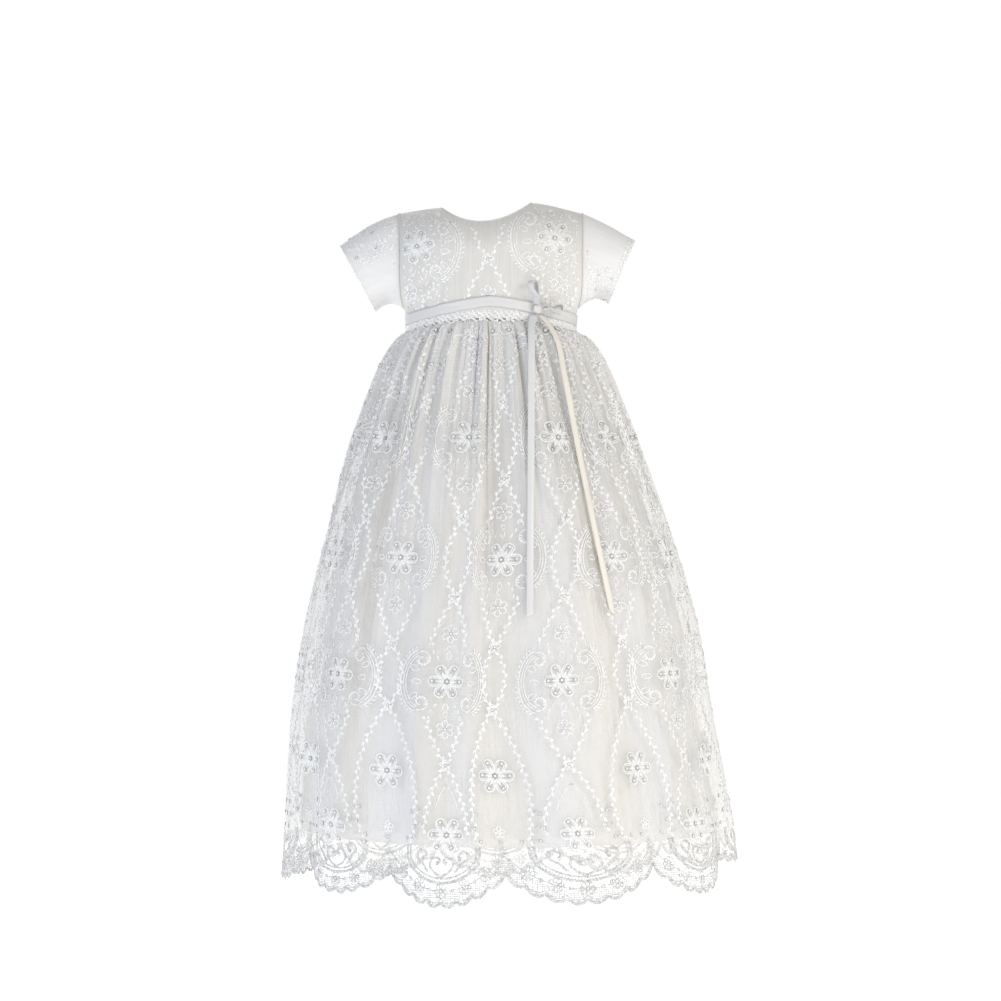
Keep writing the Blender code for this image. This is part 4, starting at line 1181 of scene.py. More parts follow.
back_left = np.linspace(0.95 * lap, -88, 46)
front = np.linspace(-90, 90, 121)
back_right = np.linspace(88, 2.35 * lap, 42)
across = np.linspace(0.5, -0.5, 9)[:, None]
belt = np.concatenate([belt_point(back_left[None, :], 1, across),
                       belt_point(front[None, :], -1, across),
                       belt_point(back_right[None, :], 1, across)], axis=1)
run = np.concatenate([[0], np.cumsum(np.linalg.norm(np.diff(belt[4], axis=0), axis=1))])
belt_uv = np.stack([np.broadcast_to(across * RIBBON_WIDTH, belt.shape[:2]),
                    np.broadcast_to(run, belt.shape[:2])], axis=-1)
ribbon = add_sheet("belt_ribbon", belt, belt_uv, WHITE_SATIN, ["waist_ribbon"],
                   wall=BELT_STAND - 0.0001)
print("belt length:", round(float(run[-1]), 3))

# %% Knot
KNOT_PLACE = (0.0445, -0.1060)
KNOT_HALF = np.array([0.0050, 0.0028, 0.0052])
KNOT_STAND = 0.0016
KNOT_SQUARENESS = 0.95
KNOT_CREASE = 0.00060


def front_of_belt(x, z):
    """Y of the belt's outer face at x, and the normal there."""
    depth = float(bodice_depth(x / WAIST_HALF_WIDTH, z, 0.0))
    normal = unit(np.array([x / WAIST_HALF_WIDTH ** 2, -depth / WAIST_HALF_DEPTH ** 2, 0.0]))
    return -depth + BELT_STAND / normal[1], normal


knot_y, knot_normal = front_of_belt(*KNOT_PLACE)
knot_centre = np.array([KNOT_PLACE[0], knot_y, KNOT_PLACE[1]])
knot_centre = knot_centre + knot_normal * (KNOT_HALF[1] + KNOT_STAND)
knot_axes = np.array([np.cross([0, 0, 1], knot_normal), knot_normal, [0, 0, 1]])
tilt = np.radians(np.linspace(-84, 84, 29))[:, None]
turn = np.linspace(0, 2 * np.pi, 48, endpoint=False)[None, :]
ball = np.stack([np.cos(tilt) * np.cos(turn), np.sin(tilt) + 0 * turn,
                 np.cos(tilt) * np.sin(turn)], axis=2)
ball = np.sign(ball) * np.abs(ball) ** KNOT_SQUARENESS * KNOT_HALF
crease = KNOT_CREASE * (1 - np.cos(ball[..., 0] / KNOT_HALF[0] * 2.4 * np.pi)) * np.cos(tilt)
ball = ball - unit(ball) * crease[..., None]
knot_rise = knot_normal * KNOT_HALF[1]
knot_mesh = turned_mesh("bow_knot_satin", ball @ knot_axes + knot_centre,
                        knot_centre - knot_rise, knot_centre + knot_rise)
add_piece("bow_knot_satin", knot_mesh, [WHITE_SATIN], ["bow_knot"])

# %% Loops of the bow
LOOPS = {
    "bow_loop_left": dict(point=113, lean=16, length=0.0250, half_width=0.0062,
                          width=0.0078, turn=22, seat=0.0004),
    "bow_loop_right": dict(point=-4, lean=16, length=0.0200, half_width=0.0066,
                           width=0.0078, turn=-20, seat=0.0001),
}
LOOP_ENDS = 0.0022
LOOP_SINK = 0.0006


def loop_grid(point, lean, length, half_width, width, turn, seat):
    """A loop as a strip: its line reaches out as a sine of half a turn and spreads as the
    sine of a whole one; its edge is lifted square to that line."""
    flat = unit(np.array([1.0, 0, 0]) - knot_normal * knot_normal[0]) * np.cos(np.radians(point))
    flat = flat + np.array([0, 0, np.sin(np.radians(point))])
    level = unit(np.cross(flat, knot_normal))
    along = flat * np.cos(np.radians(lean)) + knot_normal * np.sin(np.radians(lean))
    outward = unit(np.cross(level, along))
    tilt = np.radians(turn)
    edge_way = outward * np.cos(tilt) + level * np.sin(tilt)
    side = level * np.cos(tilt) - outward * np.sin(tilt)
    start = knot_centre + along * (KNOT_HALF[0] + seat)
    turned = np.linspace(0, np.pi, 81)[:, None]
    spread = half_width * np.sin(2 * turned) * (0.35 + 0.65 * np.sin(turned))
    spread = spread - LOOP_ENDS / 2 * np.cos(turned)
    line = start + along * length * np.sin(turned) ** 0.8 + side * spread
    away = unit(np.cross(edge_way, np.gradient(line, axis=0)))
    if np.sum((line - line.mean(axis=0)) * away) < 0:
        away = -away
    low = edge_way * (LOOP_SINK - KNOT_HALF[1])
    height = np.linspace(0, 1, 7)[:, None, None]
    crown = RIBBON_CROWN * (4 * height * (1 - height) - 1)
    grid = line[None] + low + height * edge_way * width + crown * away[None]
    if np.sum(grid_normals(grid) * away[None]) < 0:
        grid = grid[::-1]
    return grid


for name, sizes in LOOPS.items():
    grid = loop_grid(**sizes)
    run = np.concatenate([[0], np.cumsum(np.linalg.norm(np.diff(grid[3], axis=0), axis=1))])
    uv = np.stack(np.broadcast_arrays(np.linspace(0, sizes["width"], 7)[:, None], run[None, :]),
                  axis=-1)
    loop = add_sheet(f"{name}_satin", grid, uv, WHITE_SATIN, [name],
                     wall=RIBBON_WALL)

# %% Tails
TAIL_CROWN = 0.0008         # how much a hanging ribbon bows out along its middle
FRONT_HALF_WIDTH = 0.210
FRONT_HALF_DEPTH = 0.168
TAIL_STRAIGHT = table("x z", [
    (0.0415, -0.1120),
    (0.0402, -0.1220),
    (0.0400, -0.1360),
    (0.0398, -0.1800),
    (0.0392, -0.2600),
    (0.0385, -0.3400),
    (0.0380, -0.4080),
])
TAIL_SLANTED = table("x z", [
    (0.0490, -0.1120),
    (0.0570, -0.1215),
    (0.0640, -0.1340),
    (0.0720, -0.1700),
    (0.0850, -0.2400),
    (0.1010, -0.3200),
    (0.1185, -0.4030),
])
TAIL_STATIONS = 40
EDGE_MARGIN = 0.0004        # keeps the look from the front off the solid's very ends


def packed_tree(node):
    """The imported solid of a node, ready to be looked at along a line."""
    mesh = frame["nodes"][node].data
    points = np.empty(3 * len(mesh.vertices), np.float32)
    mesh.vertices.foreach_get("co", points)
    corners = np.empty(len(mesh.loops), np.int32)
    mesh.loops.foreach_get("vertex_index", corners)
    return BVHTree.FromPolygons(points.reshape(-1, 3).tolist(), corners.reshape(-1, 3).tolist())


def tail_grid(node, route, cut, width):
    """A tail as a strip of 7 rows across. Its depth at each station is where a straight
    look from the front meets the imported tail."""
    tree = packed_tree(node)
    steps = np.hypot(np.diff(route["x"]), np.diff(route["z"])).cumsum()
    lengths = np.concatenate([[0], steps])
    at = np.linspace(EDGE_MARGIN, lengths[-1] - EDGE_MARGIN - abs(cut), TAIL_STATIONS)
    x, z = (smooth_read(at, lengths, route[key]) for key in ("x", "z"))
    y = np.array([tree.ray_cast(Vector((px, -1, pz)), Vector((0, 1, 0)))[0].y
                  for px, pz in zip(x.tolist(), z.tolist())])
    fine = np.linspace(0, lengths[-1], 161)
    x, z = (smooth_read(fine, lengths, route[key]) for key in ("x", "z"))
    y = smooth_read(fine, at, y)
    slope = FRONT_HALF_DEPTH / FRONT_HALF_WIDTH * x / np.sqrt(FRONT_HALF_WIDTH ** 2 - x ** 2)
    place = np.linspace(-0.5, 0.5, 7)[:, None]
    across = place * width
    curl = TAIL_CROWN * (4 * place ** 2 - 1) * (0.6 + 0.4 * np.cos(fine * 31.0))
    drop = np.clip(1 - (fine[-1] - fine) / 0.010, 0, 1) * (place + 0.5) * cut
    grid = np.stack([x + across, y + across * slope + np.minimum(curl, 0), z - drop], axis=-1)
    uv = np.stack(np.broadcast_arrays(across, fine[None, :]), axis=-1)
    if grid_normals(grid)[..., 1].mean() > 0:
        grid, uv = grid[::-1], uv[::-1]
    return grid, uv, float(fine[-1])


# Each tail has its own copy of the satin, with painted light in its tone.
for node, route, cut, width, satin in (
        ("ribbon_tail_straight", TAIL_STRAIGHT, -0.003, 0.0070, TAIL_SATIN),
        ("ribbon_tail_slanted", TAIL_SLANTED, 0.004, 0.0056, WARM_LIT_TAIL_SATIN)):
    grid, uv, length = tail_grid(node, route, cut, width)
    tail = add_sheet(f"{node}_satin", grid, uv, satin, [node],
                     wall=RIBBON_WALL)
    print(node, "length", round(length, 3))

# %% [markdown]
# ## Buttons and finished edges
#
# The back laps left over right and closes with three small pearl buttons, which are turned
# bodies. The neck has a rolled edge, and a fine cord marks the seam where each sleeve is
# set in. A cut edge of cloth is never left bare on such a gown.

# %% Pearl buttons
BUTTON_RADIUS = 0.0050
BUTTON_HEIGHT = 0.0026
BUTTON_LEVELS = (-0.027, -0.054, -0.081)
BUTTON_OUTLINE = table("height radius", [
    (0.00, 0.86),
    (0.22, 1.00),
    (0.55, 0.93),
    (0.88, 0.62),
    (1.00, 0.16),
])

PEARL, pearl_shader = new_finish("pearl", (0.90, 0.88, 0.84), 0.18, coat=0.6)
mottle = PEARL.node_tree.nodes.new("ShaderNodeTexNoise")
place = PEARL.node_tree.nodes.new("ShaderNodeTexCoord")
mottle.inputs["Scale"].default_value = 420.0
PEARL.node_tree.links.new(place.outputs["Object"], mottle.inputs["Vector"])
tint_by(PEARL, mottle.outputs[0], (0.84, 0.82, 0.80), (0.95, 0.92, 0.88))

turn = np.linspace(0, 2 * np.pi, 40, endpoint=False)[None, :, None]
height = np.linspace(0, 1, 15)
radius = smooth_read(height, BUTTON_OUTLINE["height"], BUTTON_OUTLINE["radius"])
shoulder_start = float(smooth_read(0.0, SHOULDER["place"], SHOULDER["z"])) - SHOULDER_ROLL
for number, z in enumerate(BUTTON_LEVELS, start=1):
    roll = np.arcsin(max(0.0, (z - shoulder_start) / SHOULDER_ROLL))
    normal = np.array([0, np.cos(roll), np.sin(roll)])
    upward = np.array([0, -np.sin(roll), np.cos(roll)])
    foot = np.array([bodice_x(0.0, z), bodice_depth(0.0, z, roll), z]) + normal * 2 * SEAM_GAP
    ring = np.cos(turn) * np.array([1, 0, 0]) + np.sin(turn) * upward
    rings = (foot + radius[:, None, None] * BUTTON_RADIUS * ring
             + height[:, None, None] * BUTTON_HEIGHT * normal)
    mesh = turned_mesh(f"pearl_{number}", rings, foot, foot + normal * BUTTON_HEIGHT)
    add_piece(f"pearl_{number}", mesh, [PEARL], [f"button_{number}"])

# %% Rolled neck edge and armhole seams
EDGE_RADIUS = 0.0008
SEAM_RADIUS = 0.0008
THREAD_WHITE = make_thread("white_thread", (0.78, 0.78, 0.78), (0.98, 0.98, 0.97), 0.38, 0.0007)
# Painted shade: the border's thread is the same white thread, in a darker copy, so that it shows
# grey against the white behind it.
SHADED_BORDER_THREAD = make_thread("shaded_border_thread", (0.48, 0.48, 0.48), (0.78, 0.78, 0.77), 0.45, 0.0007)

for name, (turns, facing, neck, sink) in PANELS.items():
    in_neck = np.linspace(-29.5, 29.5, 97) if facing < 0 else (
        np.linspace(lap, -29.5, 61) if name.endswith("left") else np.linspace(29.5, 1.2 * lap, 49))
    place = np.sin(np.radians(in_neck))
    share = np.array([2.0, 1.985])[:, None]
    edge = bodice_point(place[None, :], share, facing, NECK_TURNS[neck])
    mesh = tube_mesh(f"neck_edge_{name}", edge[0], unit(edge[0] - edge[1]), EDGE_RADIUS)
    add_piece(f"neck_edge_{name}", mesh, [LINED_NET])

for name, sizes in SLEEVES.items():
    turn = np.linspace(0, 2 * np.pi, 96, endpoint=False)
    root = sleeve_point(turn, np.full(96, 0.004), **sizes)
    out = np.stack([0 * turn, np.sin(turn), np.cos(turn)], axis=-1)
    mesh = tube_mesh(f"armhole_seam_{name}", root, out, SEAM_RADIUS, closed=True)
    add_piece(f"armhole_seam_{name}", mesh, [LINED_NET])

# %% [markdown]
# ## Embroidery: the idea
#
# The net is covered with machine embroidery in white satin thread. Two wavy vines run up
# from every second point of the hem and cross, so that they make tall ogees, an old lace
# ground. Each wide ogee holds a medallion: a flower with six looped petals between two
# leafy scrolls. Below them is the border, with hearts of corded thread, a garland of small
# flowers and an open square net down to the lobed edge.
#
# It could be painted on with a texture, but thread stands up from the cloth and catches
# the light, so it is made as real thread. All of it is laid out on the flat cloth first:
# a stitch has a place across the cloth, one up it and a height above it. One function
# then carries every point of every stitch onto the hanging cloth.


# %% From the flat cloth to the skirt
WAIST_W = 0.535             # height of the waist above the notch line at the centre
LINE_Z = -0.652             # the notch line there
THREAD_STAND = 0.00015      # from the net to the foot of a stitch
RELIEF = 0.6                # pressed lace stands this share of its drawn height
CAST = 0.0004               # step for measuring slopes, in metres


def chart_z(cloth, w):
    """Height in space of a height w above the notch line. The line's own ups and downs
    fade out between 0.1 m and 0.5 m above the hem."""
    fade = 1 - ease((w - 0.10) / 0.40)
    return w + LINE_Z + (notch_line(cloth) - LINE_Z) * fade


SETTLES = table("cloth low high", [
    (0.0, 0.000, 0.00),
    (1.0, -0.050, -0.05),
    (1.5, -0.100, -0.10),
    (2.0, -0.030, 0.00),
    (2.5, 0.060, 0.12),
    (3.0, -0.045, 0.08),
    (3.5, -0.055, 0.20),
    (4.0, -0.040, 0.12),
    (4.5, -0.020, 0.05),
    (5.0, 0.000, 0.00),
    (11.0, 0.000, 0.00),
])


def settled(cloth, w):
    """Where the lace has settled among the folds: moved along the cloth by the table, in
    scallops, from its low column to its high one up the skirt, and by nothing at the hem."""
    low, high = (smooth_read(cloth % SCALLOPS, SETTLES["cloth"], SETTLES[key])
                 for key in ("low", "high"))
    return cloth + (low + (high - low) * ease((w - 0.18) / 0.25)) * ease(w / 0.05)


def net_surface(cloth, w):
    """Point of the net at a place of the chart."""
    cloth = settled(cloth, w)
    return skirt_point(cloth, below_of(cloth, chart_z(cloth, w)), gather_depth)


def net_with_lift(cloth, w, lift):
    """Point lifted off the net along its normal, which is worked out from two small
    steps, one across the cloth and one up it."""
    step = CAST / SCALLOP_WIDTH
    across = net_surface(cloth + step, w) - net_surface(cloth - step, w)
    up = net_surface(cloth, w + CAST) - net_surface(cloth, w - CAST)
    return net_surface(cloth, w) + unit(np.cross(across, up)) * lift[..., None]


def scallop_metres(cloth, w):
    """Metres of hanging cloth to one scallop, measured over a fifth of a scallop so that
    gathers and folds average out."""
    span = 0.1
    chord = net_surface(cloth + span, w) - net_surface(cloth - span, w)
    return np.linalg.norm(chord, axis=-1) / (2 * span)


# %% [markdown]
# ## Embroidery: a stitch as a small solid
#
# A corded line is a three-sided prism, with its foot on the net and its ridge above it,
# shaded smooth so that it looks round. A satin-stitch leaf is a lens: six points on the
# net and one raised in the middle. Both have few faces, because there are thousands.
# Templates are made once in millimetres and copied to all their places as whole arrays.

# %% Stitch templates
MM = 0.001
RIDGE_DIP = 0.4             # a cord's ridge sinks by this share at every other point


def ridge(count, height):
    """Heights along the ridge of a cord, which rise and sink in turn."""
    return height * (1 - RIDGE_DIP * (np.arange(count) % 2))


class Stitches:
    """Collects templates: points as (s, t, h) in millimetres, triangles, and the number of
    each triangle's material."""

    def __init__(self):
        self.points = np.empty((0, 3))
        self.faces = np.empty((0, 3), int)
        self.tones = np.empty(0, int)

    def add(self, points, faces, tone=0):
        self.faces = np.concatenate([self.faces, faces + len(self.points)])
        self.points = np.concatenate([self.points, points])
        self.tones = np.concatenate([self.tones, np.full(len(faces), tone)])
        return self

    def line(self, path, width, height, closed=False):
        """A corded line along a path of (s, t): a left foot, a right foot and a ridge at
        each point, joined by triangles and closed at both ends."""
        path = np.asarray(path, float)
        count = len(path)
        if closed:
            along = np.roll(path, -1, axis=0) - np.roll(path, 1, axis=0)
        else:
            along = np.gradient(path, axis=0)
        side = unit(np.stack([-along[:, 1], along[:, 0]], axis=-1)) * width / 2
        left = np.column_stack([path + side, np.zeros(count)])
        right = np.column_stack([path - side, np.zeros(count)])
        top = np.column_stack([path, ridge(count, height)])
        points = np.stack([left, right, top], axis=1).reshape(-1, 3)
        k = np.arange(count if closed else count - 1)
        after = (k + 1) % count
        quads = []
        for a, b in ((0, 1), (1, 2), (2, 0)):
            quads.append(np.stack([3 * k + a, 3 * after + a, 3 * after + b, 3 * k + b], axis=-1))
        quads = np.concatenate(quads)
        faces = np.concatenate([quads[:, [0, 1, 2]], quads[:, [0, 2, 3]]])
        if not closed:
            last = 3 * (count - 1)
            faces = np.concatenate([faces, [[0, 1, 2]], [[last, last + 2, last + 1]]])
        return self.add(points, faces)

    def leaf(self, root, way, length, width, height):
        """A leaf from root (s, t), pointing along way in degrees anticlockwise from s."""
        along = np.array([0.0, 0.25, 0.65, 1.0, 0.65, 0.25]) * length
        across = np.array([0.0, 0.42, 0.45, 0.0, -0.45, -0.42]) * width
        turn = np.radians(way)
        s = root[0] + along * np.cos(turn) - across * np.sin(turn)
        t = root[1] + along * np.sin(turn) + across * np.cos(turn)
        middle = [root[0] + 0.45 * length * np.cos(turn), root[1] + 0.45 * length * np.sin(turn)]
        points = np.vstack([np.column_stack([s, t, np.zeros(6)]), [*middle, height]])
        k = np.arange(6)
        top = np.stack([(k + 1) % 6, k, np.full(6, 6)], axis=-1)
        foot = np.array([[0, 1, 5], [1, 4, 5], [1, 2, 4], [2, 3, 4]])
        return self.add(points, np.concatenate([top, foot]))


def curve(points, steps):
    """A smooth curve through points of (s, t): each coordinate is read with the Hermite
    cubic against the length of the straight runs between the points."""
    points = np.asarray(points, float)
    lengths = np.concatenate([[0], np.hypot(*np.diff(points, axis=0).T).cumsum()])
    at = np.linspace(0, lengths[-1], steps)
    return np.stack([smooth_read(at, lengths, points[:, k]) for k in (0, 1)], axis=-1)


def mirrored(points):
    """The same points on the other side of the line s = 0."""
    return np.asarray(points, float) * [-1, 1]


def beside(path, offset):
    """A path moved sideways by an offset, for the second line of a double cord."""
    along = np.gradient(path, axis=0)
    return path + unit(np.stack([-along[:, 1], along[:, 0]], axis=-1)) * offset


def petal_loop(way, near, far, width, steps):
    """A looped petal: out along its middle as one minus a cosine and back, and to both
    sides as a sine, which is fullest beyond the half."""
    turn = np.linspace(0, 2 * np.pi, steps, endpoint=False)
    along = near + (far - near) * (1 - np.cos(turn)) / 2
    across = width / 2 * np.sin(turn) * (0.80 + 0.20 * -np.cos(turn)) / 0.82
    way = np.radians(way)
    return np.stack([along * np.cos(way) - across * np.sin(way),
                     along * np.sin(way) + across * np.cos(way)], axis=-1)


# %% [markdown]
# ## Embroidery: laying it on the cloth
#
# A Work gathers stitches for one piece. Copies of a template are placed at many points of
# the chart at once, turned, mirrored or squeezed. Lines that run over the whole skirt, such
# as the vines, are laid point by point instead. At the end every point goes through the
# surface function together.


# %% Laying templates and lines
FOOT_ANGLE = 115            # degrees; a foot's edges turn by more, a ridge by less


class Work:
    """Stitches laid on one surface. surface(across, up, lift) gives points in space, and
    metres(across, up) the size in space of one unit across."""

    def __init__(self, surface, metres):
        self.surface, self.metres = surface, metres
        self.places, self.faces, self.tones, self.count = [], [], [], 0

    def take(self, across, up, lift, faces, tones):
        """Adds points of the chart, their triangles and the triangles' materials."""
        self.places.append(np.stack([across.ravel(), up.ravel(), lift.ravel()], axis=-1))
        self.faces.append(faces + self.count)
        self.tones.append(tones)
        self.count += across.size

    def place(self, template, across, up, turn=0.0, squeeze=1.0, size=1.0):
        """Copies of a template at many places. turn is in degrees, squeeze narrows a copy
        across the cloth, size scales it whole."""
        across, up, turn, squeeze, size = (
            array.ravel()[:, None]
            for array in np.broadcast_arrays(across, up, turn, squeeze, size))
        s, t, h = (template.points.T[:, None, :] * MM) * size[None]
        turn = np.radians(turn)
        s, t = s * np.cos(turn) - t * np.sin(turn), s * np.sin(turn) + t * np.cos(turn)
        place_across = across + s * squeeze / self.metres(across, up)
        copies, points = s.shape
        faces = (template.faces[None] + points * np.arange(copies)[:, None, None])
        self.take(place_across, up + t, h, faces.reshape(-1, 3), np.tile(template.tones, copies))

    def lay(self, across, up, width, height):
        """Corded lines along the rows of two arrays (lines, points) of the chart, as prisms
        with a left foot, a right foot and a ridge at each point."""
        size = self.metres(across, up)
        along = np.stack([np.gradient(across, axis=1) * size, np.gradient(up, axis=1)], axis=-1)
        side = unit(np.stack([-along[..., 1], along[..., 0]], axis=-1)) * width / 2 * MM
        sides = np.array([1, -1, 0])[:, None, None]
        place_across = across + sides * side[..., 0] / size
        place_up = up + sides * side[..., 1]
        lines, points = across.shape
        lift = np.array([0, 0, MM])[:, None, None] * ridge(points, height) + 0 * place_up
        first = (np.arange(lines)[:, None] * points + np.arange(points - 1)[None, :]).ravel()
        layer = lines * points
        faces = []
        for a, b in ((0, 1), (1, 2), (2, 0)):
            near_a, near_b = first + a * layer, first + b * layer
            faces.append(np.stack([near_a, near_a + 1, near_b + 1], axis=-1))
            faces.append(np.stack([near_a, near_b + 1, near_b], axis=-1))
        start = np.arange(lines) * points
        end = start + points - 1
        faces.append(np.stack([start, start + layer, start + 2 * layer], axis=-1))
        faces.append(np.stack([end, end + 2 * layer, end + layer], axis=-1))
        faces = np.concatenate(faces)
        self.take(place_across, place_up, lift, faces, np.zeros(len(faces), int))

    def sew(self, name, materials, slot, keep=None, relief=RELIEF):
        """Makes the piece. keep(across, up) says which points may stay; triangles with any
        other point are left out. relief scales all heights. The edges of a stitch's foot
        are sharp, so that its hidden underside doesn't darken its sides."""
        places, faces = np.concatenate(self.places), np.concatenate(self.faces)
        tones = np.concatenate(self.tones)
        if keep is not None:
            allowed = keep(places[:, 0], places[:, 1])[faces].all(axis=1)
            faces, tones = faces[allowed], tones[allowed]
        used, again = np.unique(faces, return_inverse=True)
        across, up, lift = places[used].T
        points = self.surface(across, up, relief * lift + THREAD_STAND)
        mesh = mesh_from_arrays(name, points, again.reshape(-1, 3), material_index=tones)
        mesh.set_sharp_from_angle(angle=np.radians(FOOT_ANGLE))
        piece = add_piece(name, mesh, materials)
        print(name, len(faces), "triangles")
        return piece


# %% [markdown]
# ## The vines
#
# The height of one wide and one narrow ogee together is the repeat of the lace. A vine's
# distance from the middle of its column is a sine of its place in the ogee, raised to a
# power below 1, which fills out the ogee's shoulders. It stops where a medallion's scroll
# takes over and goes on above it. Where the skirt is gathered, cloth is taken from the
# columns between the medallions and given to those with one, as the hand does when it
# draws up a gather: the flowers stay open and the rest goes into the folds.

# %% Lattice of the vines
OGEE_PITCH = 0.2375         # one wide and one narrow ogee, up the cloth
WIDE_HEIGHT = 0.1615
WIDE_REACH = 0.205          # half width of an ogee, in scallops
NARROW_REACH = 0.105
OGEE_POWER = 0.85
CENTRE_VERTEX = 0.1015      # where the first wide ogee over a scallop's centre starts
CUSP_VERTEX = 0.2170        # and the first one over a notch
CUSP_START = 0.1570         # where the short ogee below that one starts
ROW_STEP = OGEE_PITCH / 2   # from a row over the centres to the next over the notches
CENTRE_ROW = 0.182
USUAL_WIDTH = 0.115         # metres of hanging cloth to a scallop, halfway up
SPREAD_BELOW = 0.085        # columns are spread where less than this hangs to a scallop
WAIST_MARGIN = 0.0035


def gather_room(cloth, w):
    """How much more cloth than its share a column of medallions takes in a gathered row:
    none where the net hangs flat, and up to a third at the waist."""
    return np.clip(SPREAD_BELOW / scallop_metres(cloth, w) - 1, 0, 0.35)


def drawn_up(cloth, w):
    """Moves the chart sideways: a column is spread in its own rows and narrowed in the
    rows between, by a sine over the scallop times a cosine up the cloth."""
    rows = np.cos(np.pi * (w - CENTRE_ROW) / ROW_STEP)
    shift = gather_room(cloth, w) * rows * np.sin(2 * np.pi * (cloth - 0.5)) / (2 * np.pi)
    return cloth + shift


def top_of_chart(cloth):
    """Height of the waist seam in the chart, less a margin."""
    return waist_z(waist_angle(cloth)) - LINE_Z - WAIST_MARGIN


def ogee_reach(w, vertex):
    """Distance of a vine from the middle of its column, in scallops."""
    place = (w - vertex) % OGEE_PITCH
    wide = place < WIDE_HEIGHT
    share = np.where(wide, place / WIDE_HEIGHT,
                     (place - WIDE_HEIGHT) / (OGEE_PITCH - WIDE_HEIGHT))
    reach = np.where(wide, WIDE_REACH, NARROW_REACH)
    return reach * np.sin(np.pi * share) ** OGEE_POWER


def arch_line(top, widest, end, reach):
    """An arch from its top down, as distances from its middle and heights: a sine that is
    0 at the top and 1 at the widest place, raised to the arches' power."""
    w = np.linspace(top, end, 300)
    rise = np.sin(np.pi / 2 * (top - w) / (top - widest))
    return reach * rise ** ARCH_POWER, w


def evenly(reach, w, spacing):
    """Points of a line, evenly spaced as it runs on cloth of the usual width."""
    run = np.concatenate([[0], np.hypot(np.diff(reach * USUAL_WIDTH), np.diff(w)).cumsum()])
    at = np.arange(0, run[-1], spacing)
    return np.interp(at, run, reach), np.interp(at, run, w)


def on_columns(columns):
    """Tells where lines beside a column lie on the chart, for all columns at once."""
    def chart(reach, w):
        cloth = (columns[:, None, None] + reach).reshape(-1, len(w))
        w = np.broadcast_to(w, cloth.shape)
        return drawn_up(cloth, w), w
    return chart


# %% Vines with their leaves
STEM = (0.8, 0.40)          # width and height of the stem, in millimetres
STEM_STEP = 0.0045
LEAF_STEP = 0.0095
LEAF_TILT = 32              # degrees between a leaf and its stem
SCROLL_HALF = 0.031         # a vine stops this far above and below a medallion's middle
LEAF = Stitches().leaf((0.3, 0), 0, 5.0, 2.9, 0.85)


def centre_columns(first, last):
    """Middles of the scallops of a width."""
    return np.arange(first, last) + 0.5


def notch_columns(first, last):
    """Notches of a width; the one on its left seam belongs to it, the other doesn't."""
    return np.arange(first, last) + 0.0


def lay_stem(work, across, up):
    """Stems along the lines."""
    work.lay(across, up, *STEM)


def add_leaves(work, across, up):
    """Leaves along the lines, slanting on. Those on one side grow at the points and those
    on the other halfway between."""
    along = np.degrees(np.arctan2(np.gradient(up, axis=1),
                                  np.gradient(across, axis=1) * work.metres(across, up)))
    work.place(LEAF, across, up, turn=along + LEAF_TILT)
    halfway = [(array[:, 1:] + array[:, :-1]) / 2 for array in (across, up)]
    work.place(LEAF, *halfway, turn=along[:, 1:] - LEAF_TILT)


def stretches(drawn):
    """The stretches of a line over which drawn is true, as arrays of point numbers."""
    parts = np.split(np.arange(len(drawn)), np.flatnonzero(np.diff(drawn)) + 1)
    return [part for part in parts if drawn[part[0]] and len(part) > 1]


def add_vines(work, chart, reach, w, middle=None):
    """Stem and leaves along a line and its mirror image. Where middle gives the height of
    a medallion, the line stops beside every medallion of its column."""
    for spacing, add in ((STEM_STEP, lay_stem), (LEAF_STEP, add_leaves)):
        near, high = evenly(reach, w, spacing)
        drawn = np.ones(len(high), bool)
        if middle is not None:
            off = (high - middle + OGEE_PITCH / 2) % OGEE_PITCH - OGEE_PITCH / 2
            drawn = np.abs(off) > SCROLL_HALF
        across, up = chart(np.stack([-near, near]), high)
        for part in stretches(drawn):
            add(work, across[:, part], up[:, part])


ARCH_POWER = 0.78
CUSP_ARCH = dict(top=CUSP_START, widest=0.066, end=0.024, reach=0.245)
OUTER_ARCH = dict(top=0.1015, widest=0.034, end=0.034, reach=0.190)
INNER_ARCH = dict(top=0.083, widest=0.050, end=0.056, reach=0.107)

EMBROIDERY = {width: [] for width in WIDTHS}    # all pieces sewn on each width


def skirt_work():
    """Stitches for the skirt as it hangs."""
    return Work(net_with_lift, scallop_metres)


def under_the_waist(cloth, w):
    """Which points of the chart lie below the waist seam."""
    return w < top_of_chart(cloth)


for width, (first, last) in WIDTHS.items():
    work = skirt_work()
    over_centres = on_columns(centre_columns(first, last))
    over_notches = on_columns(notch_columns(first, last))
    for chart, vertex in ((over_centres, CENTRE_VERTEX), (over_notches, CUSP_VERTEX)):
        w = np.linspace(vertex, WAIST_W, 900)
        add_vines(work, chart, ogee_reach(w, vertex), w, middle=vertex + WIDE_HEIGHT / 2)
    w = np.linspace(CUSP_START, CUSP_VERTEX, 200)
    share = np.clip((w - CUSP_START) / (CUSP_VERTEX - CUSP_START), 0, 1)
    short = NARROW_REACH * np.sin(np.pi * share).clip(0) ** OGEE_POWER
    add_vines(work, over_notches, short, w)
    add_vines(work, over_notches, *arch_line(**CUSP_ARCH))
    add_vines(work, over_centres, *arch_line(**OUTER_ARCH))
    near, w = evenly(*arch_line(**INNER_ARCH), STEM_STEP)
    lay_stem(work, *over_centres(np.stack([-near, near]), w))
    EMBROIDERY[width].append(work.sew(f"vines_{width}", [THREAD_WHITE], "embroidered_net",
                                      keep=under_the_waist))

